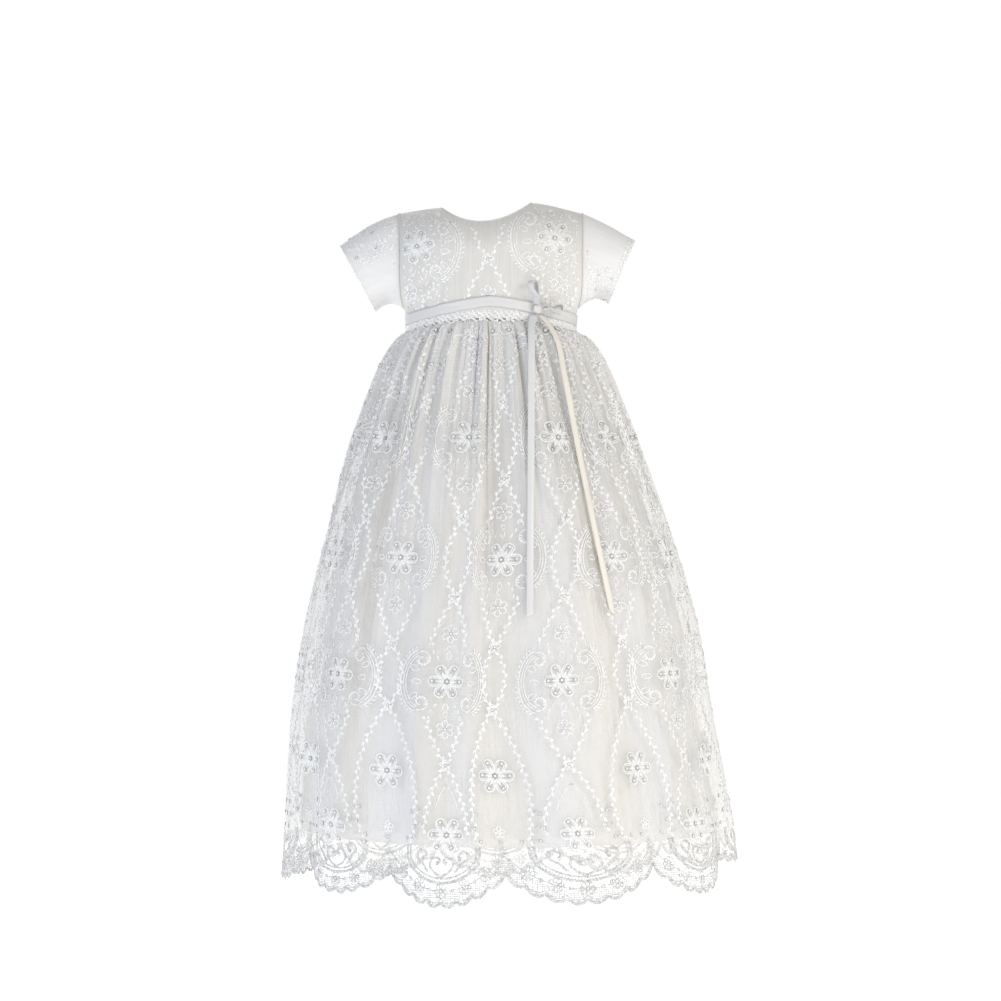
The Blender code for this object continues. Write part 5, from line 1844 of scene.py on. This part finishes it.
# %% [markdown]
# ## The medallions
#
# The middle of a medallion is a flower of six looped petals, each drawn twice in corded
# thread with a sequin at its tip. Above and below it hangs a smaller flower on a drop. On
# each side a double cord bends round in a C, ends in two volutes and carries a fringe of
# small leaves. Volutes are spirals whose radius shrinks steadily with the turn.

# %% Medallion template
def volute(centre, start, turns, outer, inner, steps):
    """A spiral round centre from an angle in degrees; its radius runs from outer to
    inner. turns is positive anticlockwise."""
    angle = np.radians(start + 360 * turns * np.linspace(0, 1, steps))
    radius = np.linspace(outer, inner, steps)
    return np.stack([centre[0] + radius * np.cos(angle), centre[1] + radius * np.sin(angle)],
                    axis=-1)


def add_flower(work, centre, petals, near, far, width, line, steps, start=0.0):
    """A flower of looped petals round centre."""
    for way in start + np.arange(petals) * 360 / petals:
        work.line(petal_loop(way, near, far, width, steps) + centre, *line, closed=True)


def add_both_sides(work, path, line, closed=False):
    """The same line on both sides of the middle."""
    work.line(path, *line, closed=closed)
    work.line(mirrored(path), *line, closed=closed)


def medallion_flower():
    """The six-petalled flower with its double loops and a few stitches in each petal."""
    work = Stitches()
    add_flower(work, (0, 0), 6, 3.4, 17.0, 9.8, (1.4, 0.8), 16)
    add_flower(work, (0, 0), 6, 5.0, 15.2, 6.6, (0.9, 0.4), 10)
    for way in range(0, 360, 60):
        work.leaf((3.4 * np.cos(np.radians(way)), 3.4 * np.sin(np.radians(way))), way, 7.0,
                  2.4, 0.35)
    return work


def small_flower(radius=8.6, petals=6):
    """A small flower of single loops."""
    work = Stitches()
    add_flower(work, (0, 0), petals, 0.18 * radius, radius, 0.62 * radius, (1.2, 0.65), 9,
               start=90.0)
    return work


SCROLL = (24.0, 19.5, 30.0)     # a scroll's middle, half width and half height
FRINGE_OUT = 1.1                # from the scroll to the roots of its fringe


def medallion_frame():
    """Double C-scrolls with a short fringe outside, volutes, drops and lobes, for both
    sides."""
    work = Stitches()
    angle = np.radians(np.linspace(-78, 78, 22))
    middle, half_width, half_height = SCROLL
    arc = np.stack([middle + half_width * np.cos(angle), half_height * np.sin(angle)], axis=-1)
    add_both_sides(work, arc, (1.4, 0.7))
    add_both_sides(work, beside(arc, 3.0), (1.0, 0.5))
    add_both_sides(work, beside(arc, 5.4), (1.0, 0.5))
    for turn in np.radians(np.linspace(-72, 72, 17)):
        s = middle + (half_width + FRINGE_OUT) * np.cos(turn)
        t = (half_height + FRINGE_OUT) * np.sin(turn)
        way = np.degrees(np.arctan2(np.sin(turn) / half_height, np.cos(turn) / half_width)) + 42
        work.leaf((s, t), way, 3.8, 1.7, 0.55)
        work.leaf((-s, t), 180 - way, 3.8, 1.7, 0.55)
    for up in (1, -1):
        spiral = volute((23.0, 20.5), 50, 1.15, 8.4, 2.0, 15) * [1, up]
        add_both_sides(work, spiral, (1.3, 0.65))
        for way in range(150, 360, 30):
            root = [23.0 + 3.4 * np.cos(np.radians(way)), 20.5 + 3.4 * np.sin(np.radians(way))]
            work.leaf((root[0], root[1] * up), (way + 25) * up, 3.6, 1.6, 0.5)
            work.leaf((-root[0], root[1] * up), 180 - (way + 25) * up, 3.6, 1.6, 0.5)
        work.line(petal_loop(90, 21, 28, 5.0, 9) * [1, up], 1.0, 0.5, closed=True)
        work.line(volute((0, 31.5 * up), 0, 0.95, 2.4, 2.4, 9), 1.0, 0.5)
        for root, way in (((8.5, 21), 60), ((13, 26), 75), ((15.5, 33), 95)):
            work.leaf((root[0], root[1] * up), way * up, 5.0, 2.0, 0.6)
            work.leaf((-root[0], root[1] * up), 180 - way * up, 5.0, 2.0, 0.6)
    for root, way in (((23, -1), 6), ((26, 10), 28), ((26, -12), -28)):
        add_both_sides(work, petal_loop(way, 0, 9, 5.0, 9) + root, (1.1, 0.6), closed=True)
    return work


MAIN_FLOWER, SMALL_FLOWER, FRAME = medallion_flower(), small_flower(), medallion_frame()
STAR = small_flower(5.6, 5)
print("medallion faces:", len(MAIN_FLOWER.faces) + len(FRAME.faces) + 2 * len(SMALL_FLOWER.faces))

# %% Medallions in their rows
SMALL_FLOWER_UP = 0.046     # from a medallion's middle to its small flowers
FRAME_SHARES = (1.0, 0.84, 0.78, 0.78)      # width of a row's frames; folds hide the rest
HEM_FLOWER_W = 0.035


def medallion_rows(first, last):
    """Places of all medallions of a width, and the share of their frames that shows: rows
    over the centres and over the notches in turn. The last row is cut by the waist."""
    cloth, w, share = [], [], []
    for row, shown in enumerate(FRAME_SHARES):
        columns = notch_columns(first, last) if row % 2 else centre_columns(first, last)
        cloth.append(columns)
        w.append(np.full(len(columns), CENTRE_ROW + row * ROW_STEP))
        share.append(np.full(len(columns), shown))
    return np.concatenate(cloth), np.concatenate(w), np.concatenate(share)


def crossings(first, last):
    """Where two vines cross: the ends of every ogee."""
    cloth, w = [], []
    for columns, vertex in ((centre_columns(first, last), CENTRE_VERTEX),
                            (notch_columns(first, last), CUSP_VERTEX - OGEE_PITCH)):
        for repeat in range(3):
            for offset in (0, WIDE_HEIGHT):
                height = vertex + repeat * OGEE_PITCH + offset
                if height < WAIST_W - 0.02 and height > CUSP_START:
                    cloth.append(columns)
                    w.append(np.full(len(columns), height))
    for columns, height in ((centre_columns(first, last), CENTRE_VERTEX),
                            (notch_columns(first, last), CUSP_START)):
        cloth.append(columns)
        w.append(np.full(len(columns), height))
    return np.concatenate(cloth), np.concatenate(w)


CUSP_FLOWER_W = 0.094
CUSP_STAR_W = 0.040

for width, (first, last) in WIDTHS.items():
    work = skirt_work()
    cloth, w, share = medallion_rows(first, last)
    work.place(MAIN_FLOWER, cloth, w)
    work.place(FRAME, cloth, w, squeeze=share)
    for up in (-1, 1):
        work.place(SMALL_FLOWER, cloth, w + up * SMALL_FLOWER_UP)
    work.place(STAR, *crossings(first, last))
    columns = notch_columns(first, last)
    work.place(MAIN_FLOWER, columns, np.full(len(columns), CUSP_FLOWER_W))
    work.place(STAR, columns, np.full(len(columns), CUSP_STAR_W))
    columns = centre_columns(first, last)
    work.place(MAIN_FLOWER, columns, np.full(len(columns), HEM_FLOWER_W))
    EMBROIDERY[width].append(work.sew(f"medallions_{width}", [THREAD_WHITE], "embroidered_net",
                                      keep=under_the_waist))

# %% [markdown]
# ## The border
#
# Each scallop of the hem has its own picture: a flower inside a heart of double cord, two
# scrolls that stand in it, and a garland of small round flowers on a cord. Between the
# garland and the edge the ground changes to an open square net. A thick overcast cord
# finishes the edge, so that the cut net can't fray. The picture is drawn for a scallop
# 30 mm deep. Below the notch line its heights are drawn in or out to fit each scallop.

# %% Border pictures
DEPTH_USUAL = 0.030
GARLAND = [(0, -18), (27, -13), (50, -1)]       # middles of its flowers on one side
GARLAND_CORD = [(0, -18), (14, -16.8), (27, -13), (39, -7.5), (50, -1), (61, 8), (71, 17)]
HEART = [(45, 24), (44.5, 12), (38, 3), (29.5, -3), (19.5, -7.5), (9.5, -10), (0, -11)]
TALL_SCROLL = [(16, -1), (23, 7), (31, 14), (29.5, 18.5), (24, 19), (19.5, 15.5), (21.5, 12.5)]
LOW_SCROLL = [(0, -5), (8.5, -1), (14, 6), (12, 11), (5.6, 13), (1.9, 9.5), (5.2, 7.6)]
CLUSTERS = [(34, 56), (31, 42), (38, 30)]       # leaf clusters beside the flower


def border_picture():
    """Heart, scrolls, garland and leaf clusters of one scallop, from the middle of its
    notch line."""
    work = Stitches()
    heart = curve(HEART, 44)
    add_both_sides(work, heart, (3.0, 1.0))
    add_both_sides(work, beside(heart, -4.2), (2.2, 0.8))
    for (s, t), (after_s, after_t) in zip(heart[1:-1:2], heart[2::2]):
        way = np.degrees(np.arctan2(after_t - t, after_s - s)) - 60
        work.leaf((s, t), way, 3.6, 1.5, 0.6)
        work.leaf((-s, t), 180 - way, 3.6, 1.5, 0.6)
    for scroll in (TALL_SCROLL, LOW_SCROLL):
        add_both_sides(work, curve(scroll, 30), (3.0, 1.0))
        s, t = scroll[-1]
        add_both_sides(work, volute((s, t), 0, 0.9, 1.6, 1.6, 7), (1.8, 0.9))
    add_both_sides(work, curve(GARLAND_CORD, 40), (1.2, 0.6))
    for side in (-1, 1):
        for s, t in GARLAND if side > 0 else GARLAND[1:]:
            add_flower(work, (side * s, t), 8, 1.8, 7.0, 4.2, (1.4, 0.7), 7, start=90.0)
        for s, t in GARLAND_CORD[1:4:2]:
            work.line(volute((side * s, t), 0, 0.9, 1.7, 1.7, 7), 1.3, 0.8)
        for s, t in CLUSTERS:
            for way in (20, 90, 160):
                work.leaf((side * s, t), way, 4.6, 2.0, 0.6)
    return work


def border_height(cloth, w):
    """Heights below the notch line, drawn in or out to the scallop's own depth."""
    depth = HEM["depth"][np.floor(cloth).astype(int) % SCALLOPS]
    return np.where(w < 0, w * depth / DEPTH_USUAL, w)


def border_surface(cloth, w, lift):
    """The skirt's surface for a picture drawn for the usual depth."""
    return net_with_lift(cloth, border_height(cloth, w), lift)


def flat_metres(cloth, w):
    """The border is drawn on the flat cloth: a scallop has its cut width everywhere."""
    return SCALLOP_WIDTH + 0 * cloth


# %% Open square net
NET_PITCH = 0.0020
NET_THREAD = (0.60, 0.35)
EDGE_CORD = (3.6, 1.5)
EDGE_MIDDLE = 0.0014        # from the cut edge up to the middle of its cord
EDGE_SWELL = 0.0010         # how much the cord swings out at the middle of a lobe
NET_TOP = table("s w", [
    (0, -18),
    (15, -16.8),
    (30, -12.5),
    (45, -4.5),
    (60, 5.5),
    (66, 20),
    (71, 30),
])


def above_edge(cloth, w):
    """Which points of the border's picture lie above the edge cord."""
    return chart_z(cloth, border_height(cloth, w)) > scallop_hem(cloth) + EDGE_MIDDLE


def in_open_net(cloth, w):
    """Which points lie between the garland and the edge."""
    s = np.abs(cloth % 1 - 0.5) * SCALLOP_WIDTH / MM
    return above_edge(cloth, w) & (w / MM < smooth_read(s, NET_TOP["s"], NET_TOP["w"]))


for width, (first, last) in WIDTHS.items():
    work = Work(border_surface, flat_metres)
    columns = centre_columns(first, last)
    work.place(border_picture(), columns, np.zeros(len(columns)))
    EMBROIDERY[width].append(work.sew(f"border_{width}", [SHADED_BORDER_THREAD], "embroidered_net",
                                      keep=above_edge))

    work = Work(border_surface, flat_metres)
    rows = np.arange(-0.036, 0.031, NET_PITCH)[:, None]
    along = np.linspace(first, last, (last - first) * 48 + 1)[None, :]
    work.lay(*np.broadcast_arrays(along, rows), *NET_THREAD)
    step = NET_PITCH / SCALLOP_WIDTH
    across = np.arange(first + step / 2, last, step)[:, None]
    upright = np.linspace(-0.036, 0.031, 20)[None, :]
    work.lay(*np.broadcast_arrays(across, upright), *NET_THREAD)
    EMBROIDERY[width].append(work.sew(f"open_net_{width}", [SHADED_BORDER_THREAD], "embroidered_net",
                                      keep=in_open_net))

    work = skirt_work()
    along = np.linspace(first, last, (last - first) * LOBES * 7 + 1)[None, :]
    edge = scallop_hem(along) - notch_line(along)
    edge = edge + EDGE_MIDDLE - EDGE_SWELL * np.abs(np.sin(np.pi * LOBES * along))
    work.lay(along, edge, *EDGE_CORD)
    work.lay(along, edge + 0.0034, 1.1, 0.6)
    EMBROIDERY[width].append(work.sew(f"edge_cord_{width}", [SHADED_BORDER_THREAD], "embroidered_net"))

# %% [markdown]
# ## Sequins
#
# A sequin is a small cup of clear plastic, sewn down through a bead in its middle. Its rim
# is painted dark grey, a painted reflection of the darker room, and shows as a thin grey
# ring, and its face is bright. It has three materials on one small form of eight sides,
# because there are hundreds.

# %% Sequins
# Painted reflection: the rim's dark grey stands for the darker room mirrored in it.
PAINTED_REFLECTION_RIM, rim_shader = new_finish("sequin_rim_painted_reflection", (0.24, 0.24, 0.24), 0.30, coat=0.2)
SEQUIN_FACE, face_shader = new_finish("sequin_face", (0.90, 0.91, 0.92), 0.22, coat=0.4)
# The rim's mottle, from near black to grey, is more of that painted reflection.
for material, shader, low_tint, high_tint, metallic in (
        (PAINTED_REFLECTION_RIM, rim_shader, (0.10, 0.10, 0.10), (0.46, 0.46, 0.45), 0.25),
        (SEQUIN_FACE, face_shader, (0.84, 0.86, 0.88), (0.97, 0.97, 0.96), 0.0)):
    shader.inputs["Metallic"].default_value = metallic
    place = material.node_tree.nodes.new("ShaderNodeTexCoord")
    mottle = material.node_tree.nodes.new("ShaderNodeTexNoise")
    mottle.inputs["Scale"].default_value = 600.0
    material.node_tree.links.new(place.outputs["Object"], mottle.inputs["Vector"])
    tint_by(material, mottle.outputs[0], low_tint, high_tint)

SEQUIN_SIDES = 8
SEQUIN_PROFILE = [(1.95, 0.0), (2.05, 0.45), (1.40, 0.60), (0.60, 0.45), (0.50, 0.80)]
SEQUIN_TONES = [0, 0, 1, 2]     # rim, rim, face, bead


def sequin():
    """A turned form: rings of points along the profile, closed by a fan at both ends."""
    turn = np.linspace(0, 2 * np.pi, SEQUIN_SIDES, endpoint=False)
    profile = np.array(SEQUIN_PROFILE)
    rings = np.stack([profile[:, :1] * np.cos(turn), profile[:, :1] * np.sin(turn),
                      profile[:, 1:] + 0 * turn], axis=-1)
    work = Stitches()
    k, after = np.arange(SEQUIN_SIDES), (np.arange(SEQUIN_SIDES) + 1) % SEQUIN_SIDES
    far = k + SEQUIN_SIDES
    far_after = after + SEQUIN_SIDES
    band = np.concatenate([np.stack([k, after, far_after], axis=-1),
                           np.stack([k, far_after, far], axis=-1)])
    for number, tone in enumerate(SEQUIN_TONES):
        work.add(rings[number:number + 2].reshape(-1, 3), band, tone)
    cap = np.stack([k, after, np.full(SEQUIN_SIDES, SEQUIN_SIDES)], axis=-1)
    work.add(np.vstack([rings[-1], [0, 0, profile[-1, 1] + 0.2]]), cap, 2)
    work.add(np.vstack([rings[0], [0, 0, 0]]), cap[:, ::-1], 0)
    return work


SEQUIN = sequin()
FLOWER_SPOTS = [(0, 0), (13.5, 0), (-13.5, 0), (7, 12), (-7, 12), (7, -12), (-7, -12)]
DROP_SPOTS = [(0, 46), (0, -46)]
SCROLL_SPOTS = [(35, 9), (-35, 9), (30, -18), (-30, -18)]
SEQUIN_FINISHES = [PAINTED_REFLECTION_RIM, SEQUIN_FACE, THREAD_WHITE]


def add_sequins(work, spots, across, up, squeeze=1.0, size=1.0):
    """Sequins at spots (s, t) in millimetres round each place."""
    for s, t in spots:
        work.place(SEQUIN, across + s * MM * squeeze / work.metres(across, up), up + t * MM,
                   size=size)


def at_height(columns, w):
    """Columns with one height each, as a pair of arrays."""
    return columns, np.full(len(columns), w)


for width, (first, last) in WIDTHS.items():
    work = Work(border_surface, scallop_metres)
    cloth, w, share = medallion_rows(first, last)
    add_sequins(work, FLOWER_SPOTS + DROP_SPOTS, cloth, w)
    add_sequins(work, SCROLL_SPOTS, cloth, w, share, 0.5)
    add_sequins(work, [(0, 0)], *crossings(first, last), size=0.9)
    add_sequins(work, FLOWER_SPOTS, *at_height(notch_columns(first, last), CUSP_FLOWER_W))
    columns = centre_columns(first, last)
    add_sequins(work, FLOWER_SPOTS, *at_height(columns, HEM_FLOWER_W))
    for side in (-1, 1):
        spots = [(side * s, t) for s, t in CLUSTERS] + [(side * s, t) for s, t in GARLAND[1:]]
        add_sequins(work, spots + [(side * 57.5, 30)], *at_height(columns, 0), size=0.85)
    add_sequins(work, [GARLAND[0]], *at_height(columns, 0), size=0.85)
    EMBROIDERY[width].append(work.sew(f"sequins_{width}", SEQUIN_FINISHES, "embroidered_net",
                                      keep=under_the_waist, relief=1.0))

# %% [markdown]
# ## Lace on the bodice
#
# The bodice is cut from the same lace as the skirt, so nothing new is drawn for it. Three
# columns of the skirt's own pattern are laid over it, a medallion at each side and the tip
# of a third one in the middle, and they are cut off where the seams fall. Each column is
# one row of a table: where its medallion lies and how far the lace was tilted. Seen from
# the front, a place on the bodice is its x and its height, so the surface is written as a
# function of those two.


# %% Charts of the bodice and the sleeves
def with_lift(surface):
    """Adds a lift along the normal to a surface function of two lengths. The normal comes
    from a small step across and one up."""
    def lifted(across, up, lift):
        sideways = surface(across + CAST, up) - surface(across - CAST, up)
        upwards = surface(across, up + CAST) - surface(across, up - CAST)
        return surface(across, up) + unit(np.cross(sideways, upwards)) * lift[..., None]
    return lifted


def plain_metres(across, up):
    """The scale of a chart that is in metres already."""
    return 1.0 + 0 * across


def bodice_place(x, z):
    """The place over the width that has this x. A few rounds undo the neck's shift."""
    half_width = smooth_read(z, BODICE["z"], BODICE["half_width"])
    shift = NECK_SHIFT * ease((z - UNDERARM_Z) / (ARMHOLE_TOP_Z - UNDERARM_Z))
    place = np.clip(x / half_width, -1, 1)
    for _ in range(4):
        place = np.clip((x - shift * (1 - place ** 2)) / half_width, -1, 1)
    return place


def bodice_chart(facing):
    """The front (-1) or back (1) of the bodice as a function of the distance to the right
    as seen from outside, and of height."""
    def surface(across, up):
        x = -facing * across
        place = bodice_place(x, up)
        start = smooth_read(place, SHOULDER["place"], SHOULDER["z"]) - SHOULDER_ROLL
        roll = np.arcsin(np.clip((up - start) / SHOULDER_ROLL, 0, 1))
        depth = bodice_depth(place, up, roll) - crease_depth(x, up)
        return np.stack([x, facing * depth, up], axis=-1)
    return surface


SIDE_LIMIT = 0.96           # of the half width, where the side and armhole seams begin
LAP_LIMIT = 0.016           # half width of the lap, which stays plain
SHOULDER_SHARE = 0.90       # of the shoulder roll's height, above which it turns back
EDGE_TURN = 10              # degrees of the roll that stay bare below the neck's edge


def on_bodice(facing, neck_turn):
    """Tells which points lie on a panel, clear of the seams, the belt and the lap."""
    def keep(across, up):
        place = bodice_place(-facing * across, up)
        in_neck = np.sqrt(np.clip(1 - np.abs(2 * place) ** NECK_SQUARENESS, 0, 1))
        start = smooth_read(place, SHOULDER["place"], SHOULDER["z"]) - SHOULDER_ROLL
        turned = neck_turn * in_neck + EDGE_TURN
        highest = np.minimum(np.cos(np.radians(turned)), SHOULDER_SHARE)
        top = start + SHOULDER_ROLL * highest
        above_belt = up > ribbon_z(place) + RIBBON_WIDTH / 2
        clear = (np.abs(place) < SIDE_LIMIT) & (up < top) & above_belt
        return clear & ((facing < 0) | (np.abs(across) > LAP_LIMIT))
    return keep


# %% Columns of lace on the bodice
COLUMN_REACH = 0.125        # how far a column is drawn up and down from its medallion
BODICE_SEQUIN = 0.85
FRONT_COLUMNS = table("x z tilt flower_turn", [
    (-0.073, -0.044, -10, 12),
    (-0.003, -0.138, 0, 0),
    (0.063, -0.036, 6, -6),
])
BACK_COLUMNS = table("x z tilt flower_turn", [
    (-0.068, -0.046, -8, 0),
    (0.000, -0.138, 0, 0),
    (0.068, -0.046, 8, 0),
])


def tilted_column(x, z, tilt):
    """Tells where places beside a column lie on the bodice. They are given in scallops
    across and metres up from its medallion, and are turned by its tilt."""
    tilt = np.radians(tilt)

    def chart(reach, up):
        across = reach * SCALLOP_WIDTH
        return (x + across * np.cos(tilt) - up * np.sin(tilt),
                z + across * np.sin(tilt) + up * np.cos(tilt))
    return chart


UNEVEN_TURN = 137.5         # degrees from a stitch to the next, so that no two lie alike
FILL_PITCH = 0.0050
FILL_SIZE = 0.62
FILL_FROM = 0.044           # nearer to the middle the ground is bare


def add_filling(work, across, up):
    """Small stitches in a half-drop grid over the ranges across and up, which are given as
    a start and an end; gives nothing back."""
    rows, places = np.meshgrid(np.arange(*up, FILL_PITCH), np.arange(*across, FILL_PITCH),
                               indexing="ij")
    places = places + FILL_PITCH / 2 * (np.arange(len(rows)) % 2)[:, None]
    number = np.arange(rows.size).reshape(rows.shape)
    work.place(LEAF, places, rows, turn=UNEVEN_TURN * number, size=FILL_SIZE)


def dress_bodice(name, facing, neck, columns):
    """Lace and sequins of one side of the bodice; gives both pieces."""
    surface = with_lift(bodice_chart(facing))
    lace, spots = Work(surface, plain_metres), Work(surface, plain_metres)
    for across in ((-WAIST_HALF_WIDTH, -FILL_FROM), (FILL_FROM, WAIST_HALF_WIDTH)):
        add_filling(lace, across, (UNDERARM_Z, 0.0))
    up = np.linspace(-COLUMN_REACH, COLUMN_REACH, 500)
    for x, z, tilt, flower_turn in zip(*columns.values()):
        chart = tilted_column(x, z, tilt)
        add_vines(lace, chart, ogee_reach(up, -WIDE_HEIGHT / 2), up, middle=0.0)
        lace.place(MAIN_FLOWER, x, z, turn=flower_turn)
        lace.place(FRAME, x, z, turn=tilt)
        for side in (-1, 1):
            lace.place(SMALL_FLOWER, *chart(0.0, side * SMALL_FLOWER_UP), turn=tilt)
            crossing = chart(0.0, side * WIDE_HEIGHT / 2)
            lace.place(STAR, *crossing)
            spots.place(SEQUIN, *crossing, size=BODICE_SEQUIN)
        for turn, places in ((flower_turn, FLOWER_SPOTS), (tilt, DROP_SPOTS)):
            s, t = np.array(places).T * MM
            spots.place(SEQUIN, *tilted_column(x, z, turn)(s / SCALLOP_WIDTH, t),
                        size=BODICE_SEQUIN)
    keep = on_bodice(facing, NECK_TURNS[neck])
    return [lace.sew(f"{name}_lace", [THREAD_WHITE], "lined_net", keep=keep),
            spots.sew(f"{name}_sequins", SEQUIN_FINISHES, "lined_net", keep=keep, relief=1.0)]


LACE = {"bodice_front": dress_bodice("bodice_front", -1, "front", FRONT_COLUMNS),
        "bodice_back": dress_bodice("bodice_back", 1, "back", BACK_COLUMNS)}

# %% Lace strip over the waist seam
STRIP_STEP = 0.0021
STRIP_ROWS = (-0.0030, -0.0012, 0.0006, 0.0024, 0.0042, 0.0060)
STRIP_SIZE = 0.6


def under_the_belt(across, up):
    """Which points lie below the belt's lower edge."""
    return up < ribbon_z(across / WAIST_HALF_WIDTH) - RIBBON_WIDTH / 2 + 0.0005


for name, facing in (("front", -1), ("back", 1)):
    work = Work(with_lift(bodice_chart(facing)), plain_metres)
    turns = np.arange(-82, 82.1, np.degrees(STRIP_STEP / WAIST_HALF_WIDTH))
    across = WAIST_HALF_WIDTH * np.sin(np.radians(turns))[None, :]
    waist = WAIST_FRONT_Z - WAIST_SIDE_DROP * (across / WAIST_HALF_WIDTH) ** 2
    up = waist + np.array(STRIP_ROWS)[:, None]
    number = np.arange(up.size).reshape(up.shape)
    work.place(LEAF, across + 0 * up, up, turn=UNEVEN_TURN * number, size=STRIP_SIZE)
    LACE[f"bodice_{name}"].append(work.sew(f"waist_strip_{name}", [THREAD_WHITE], "lined_net",
                                           keep=under_the_belt))

# %% [markdown]
# ## Lace on the sleeves
#
# Lace covers the top of the left sleeve and the underside of the right one, and the rest of
# each is plain satin. Sprigs are set in two rows, each turned by the same odd angle from
# the last, with small flowers between the rows. The left cuff is turned up and stitched.
# The right one ends in a lobed edge.

# %% Sleeve lace
ARM_RADIUS = 0.036
SLEEVE_LENGTH = 0.050
SPRIG_STEP = 0.009
FLOWER_STEP = 0.037
SLEEVE_SEQUIN = 0.7


def sprig():
    """A curved stem with leaves that ends in a spiral."""
    work = Stitches()
    stem = curve([(-11, -6), (-4, -7), (3, -4), (8, 2), (7, 8)], 12)
    work.line(stem, 0.9, 0.45)
    work.line(volute((2.5, 8.0), 0, 1.1, 4.6, 1.4, 12), 1.2, 0.6)
    for (s, t), way in zip(stem[1:10:2], (20, 10, 35, 60, 80)):
        work.leaf((s, t), way + 42, 4.4, 1.9, 0.6)
        work.leaf((s, t), way - 42, 4.4, 1.9, 0.6)
    return work


def sleeve_chart(side, sizes):
    """A sleeve as a function of the length round the arm from its top, and of the length
    from the armhole."""
    def surface(across, up):
        return sleeve_surface(-side * across / ARM_RADIUS, up / SLEEVE_LENGTH, sizes)
    return surface


SLEEVE_LACE = {"sleeve_left": (-0.048, 0.050), "sleeve_right": (0.060, 0.158)}
SPRIG = sprig()
HEM_LINE = 0.0455           # of the left cuff, from the armhole
for name, (start, end) in SLEEVE_LACE.items():
    sizes = SLEEVES[name]
    surface = with_lift(sleeve_chart(sizes["side"], sizes))
    work, spots = Work(surface, plain_metres), Work(surface, plain_metres)
    add_filling(work, (start, end), (0.004, 0.040))
    across = np.arange(start, end, SPRIG_STEP)
    number = np.arange(len(across))
    work.place(SPRIG, across, np.where(number % 2, 0.034, 0.012), turn=UNEVEN_TURN * number)
    flowers = np.arange(start + SPRIG_STEP, end, FLOWER_STEP)
    work.place(SMALL_FLOWER, flowers, 0.023 + 0 * flowers)
    spots.place(SEQUIN, flowers, 0.023 + 0 * flowers, size=SLEEVE_SEQUIN)
    spots.place(SEQUIN, across[1::2], np.where(number[1::2] % 4 == 1, 0.042, 0.024),
                size=SLEEVE_SEQUIN)
    round_arm = np.linspace(-np.pi, np.pi, 141)[None, :] * ARM_RADIUS
    if name == "sleeve_left":
        work.lay(round_arm, HEM_LINE + 0 * round_arm, 0.7, 0.35)
        work.lay(round_arm, SLEEVE_LENGTH - 0.0006 + 0 * round_arm, 1.2, 0.5)
    else:
        lobes = 0.0016 * np.abs(np.sin(10 * round_arm / ARM_RADIUS))
        work.lay(round_arm, SLEEVE_LENGTH - 0.0004 + lobes, 1.9, 0.8)
        work.lay(round_arm, SLEEVE_LENGTH - 0.0040 + lobes, 0.9, 0.5)
        across = np.linspace(-np.pi, np.pi, 60, endpoint=False) * ARM_RADIUS
        work.place(LEAF, across, SLEEVE_LENGTH - 0.0052 + 0 * across,
                   turn=90 + 25 * (-1.0) ** np.arange(60), size=0.9)
    LACE[name] = [work.sew(f"{name}_lace", [THREAD_WHITE], "lined_net"),
                  spots.sew(f"{name}_sequins", SEQUIN_FINISHES, "lined_net", relief=1.0)]
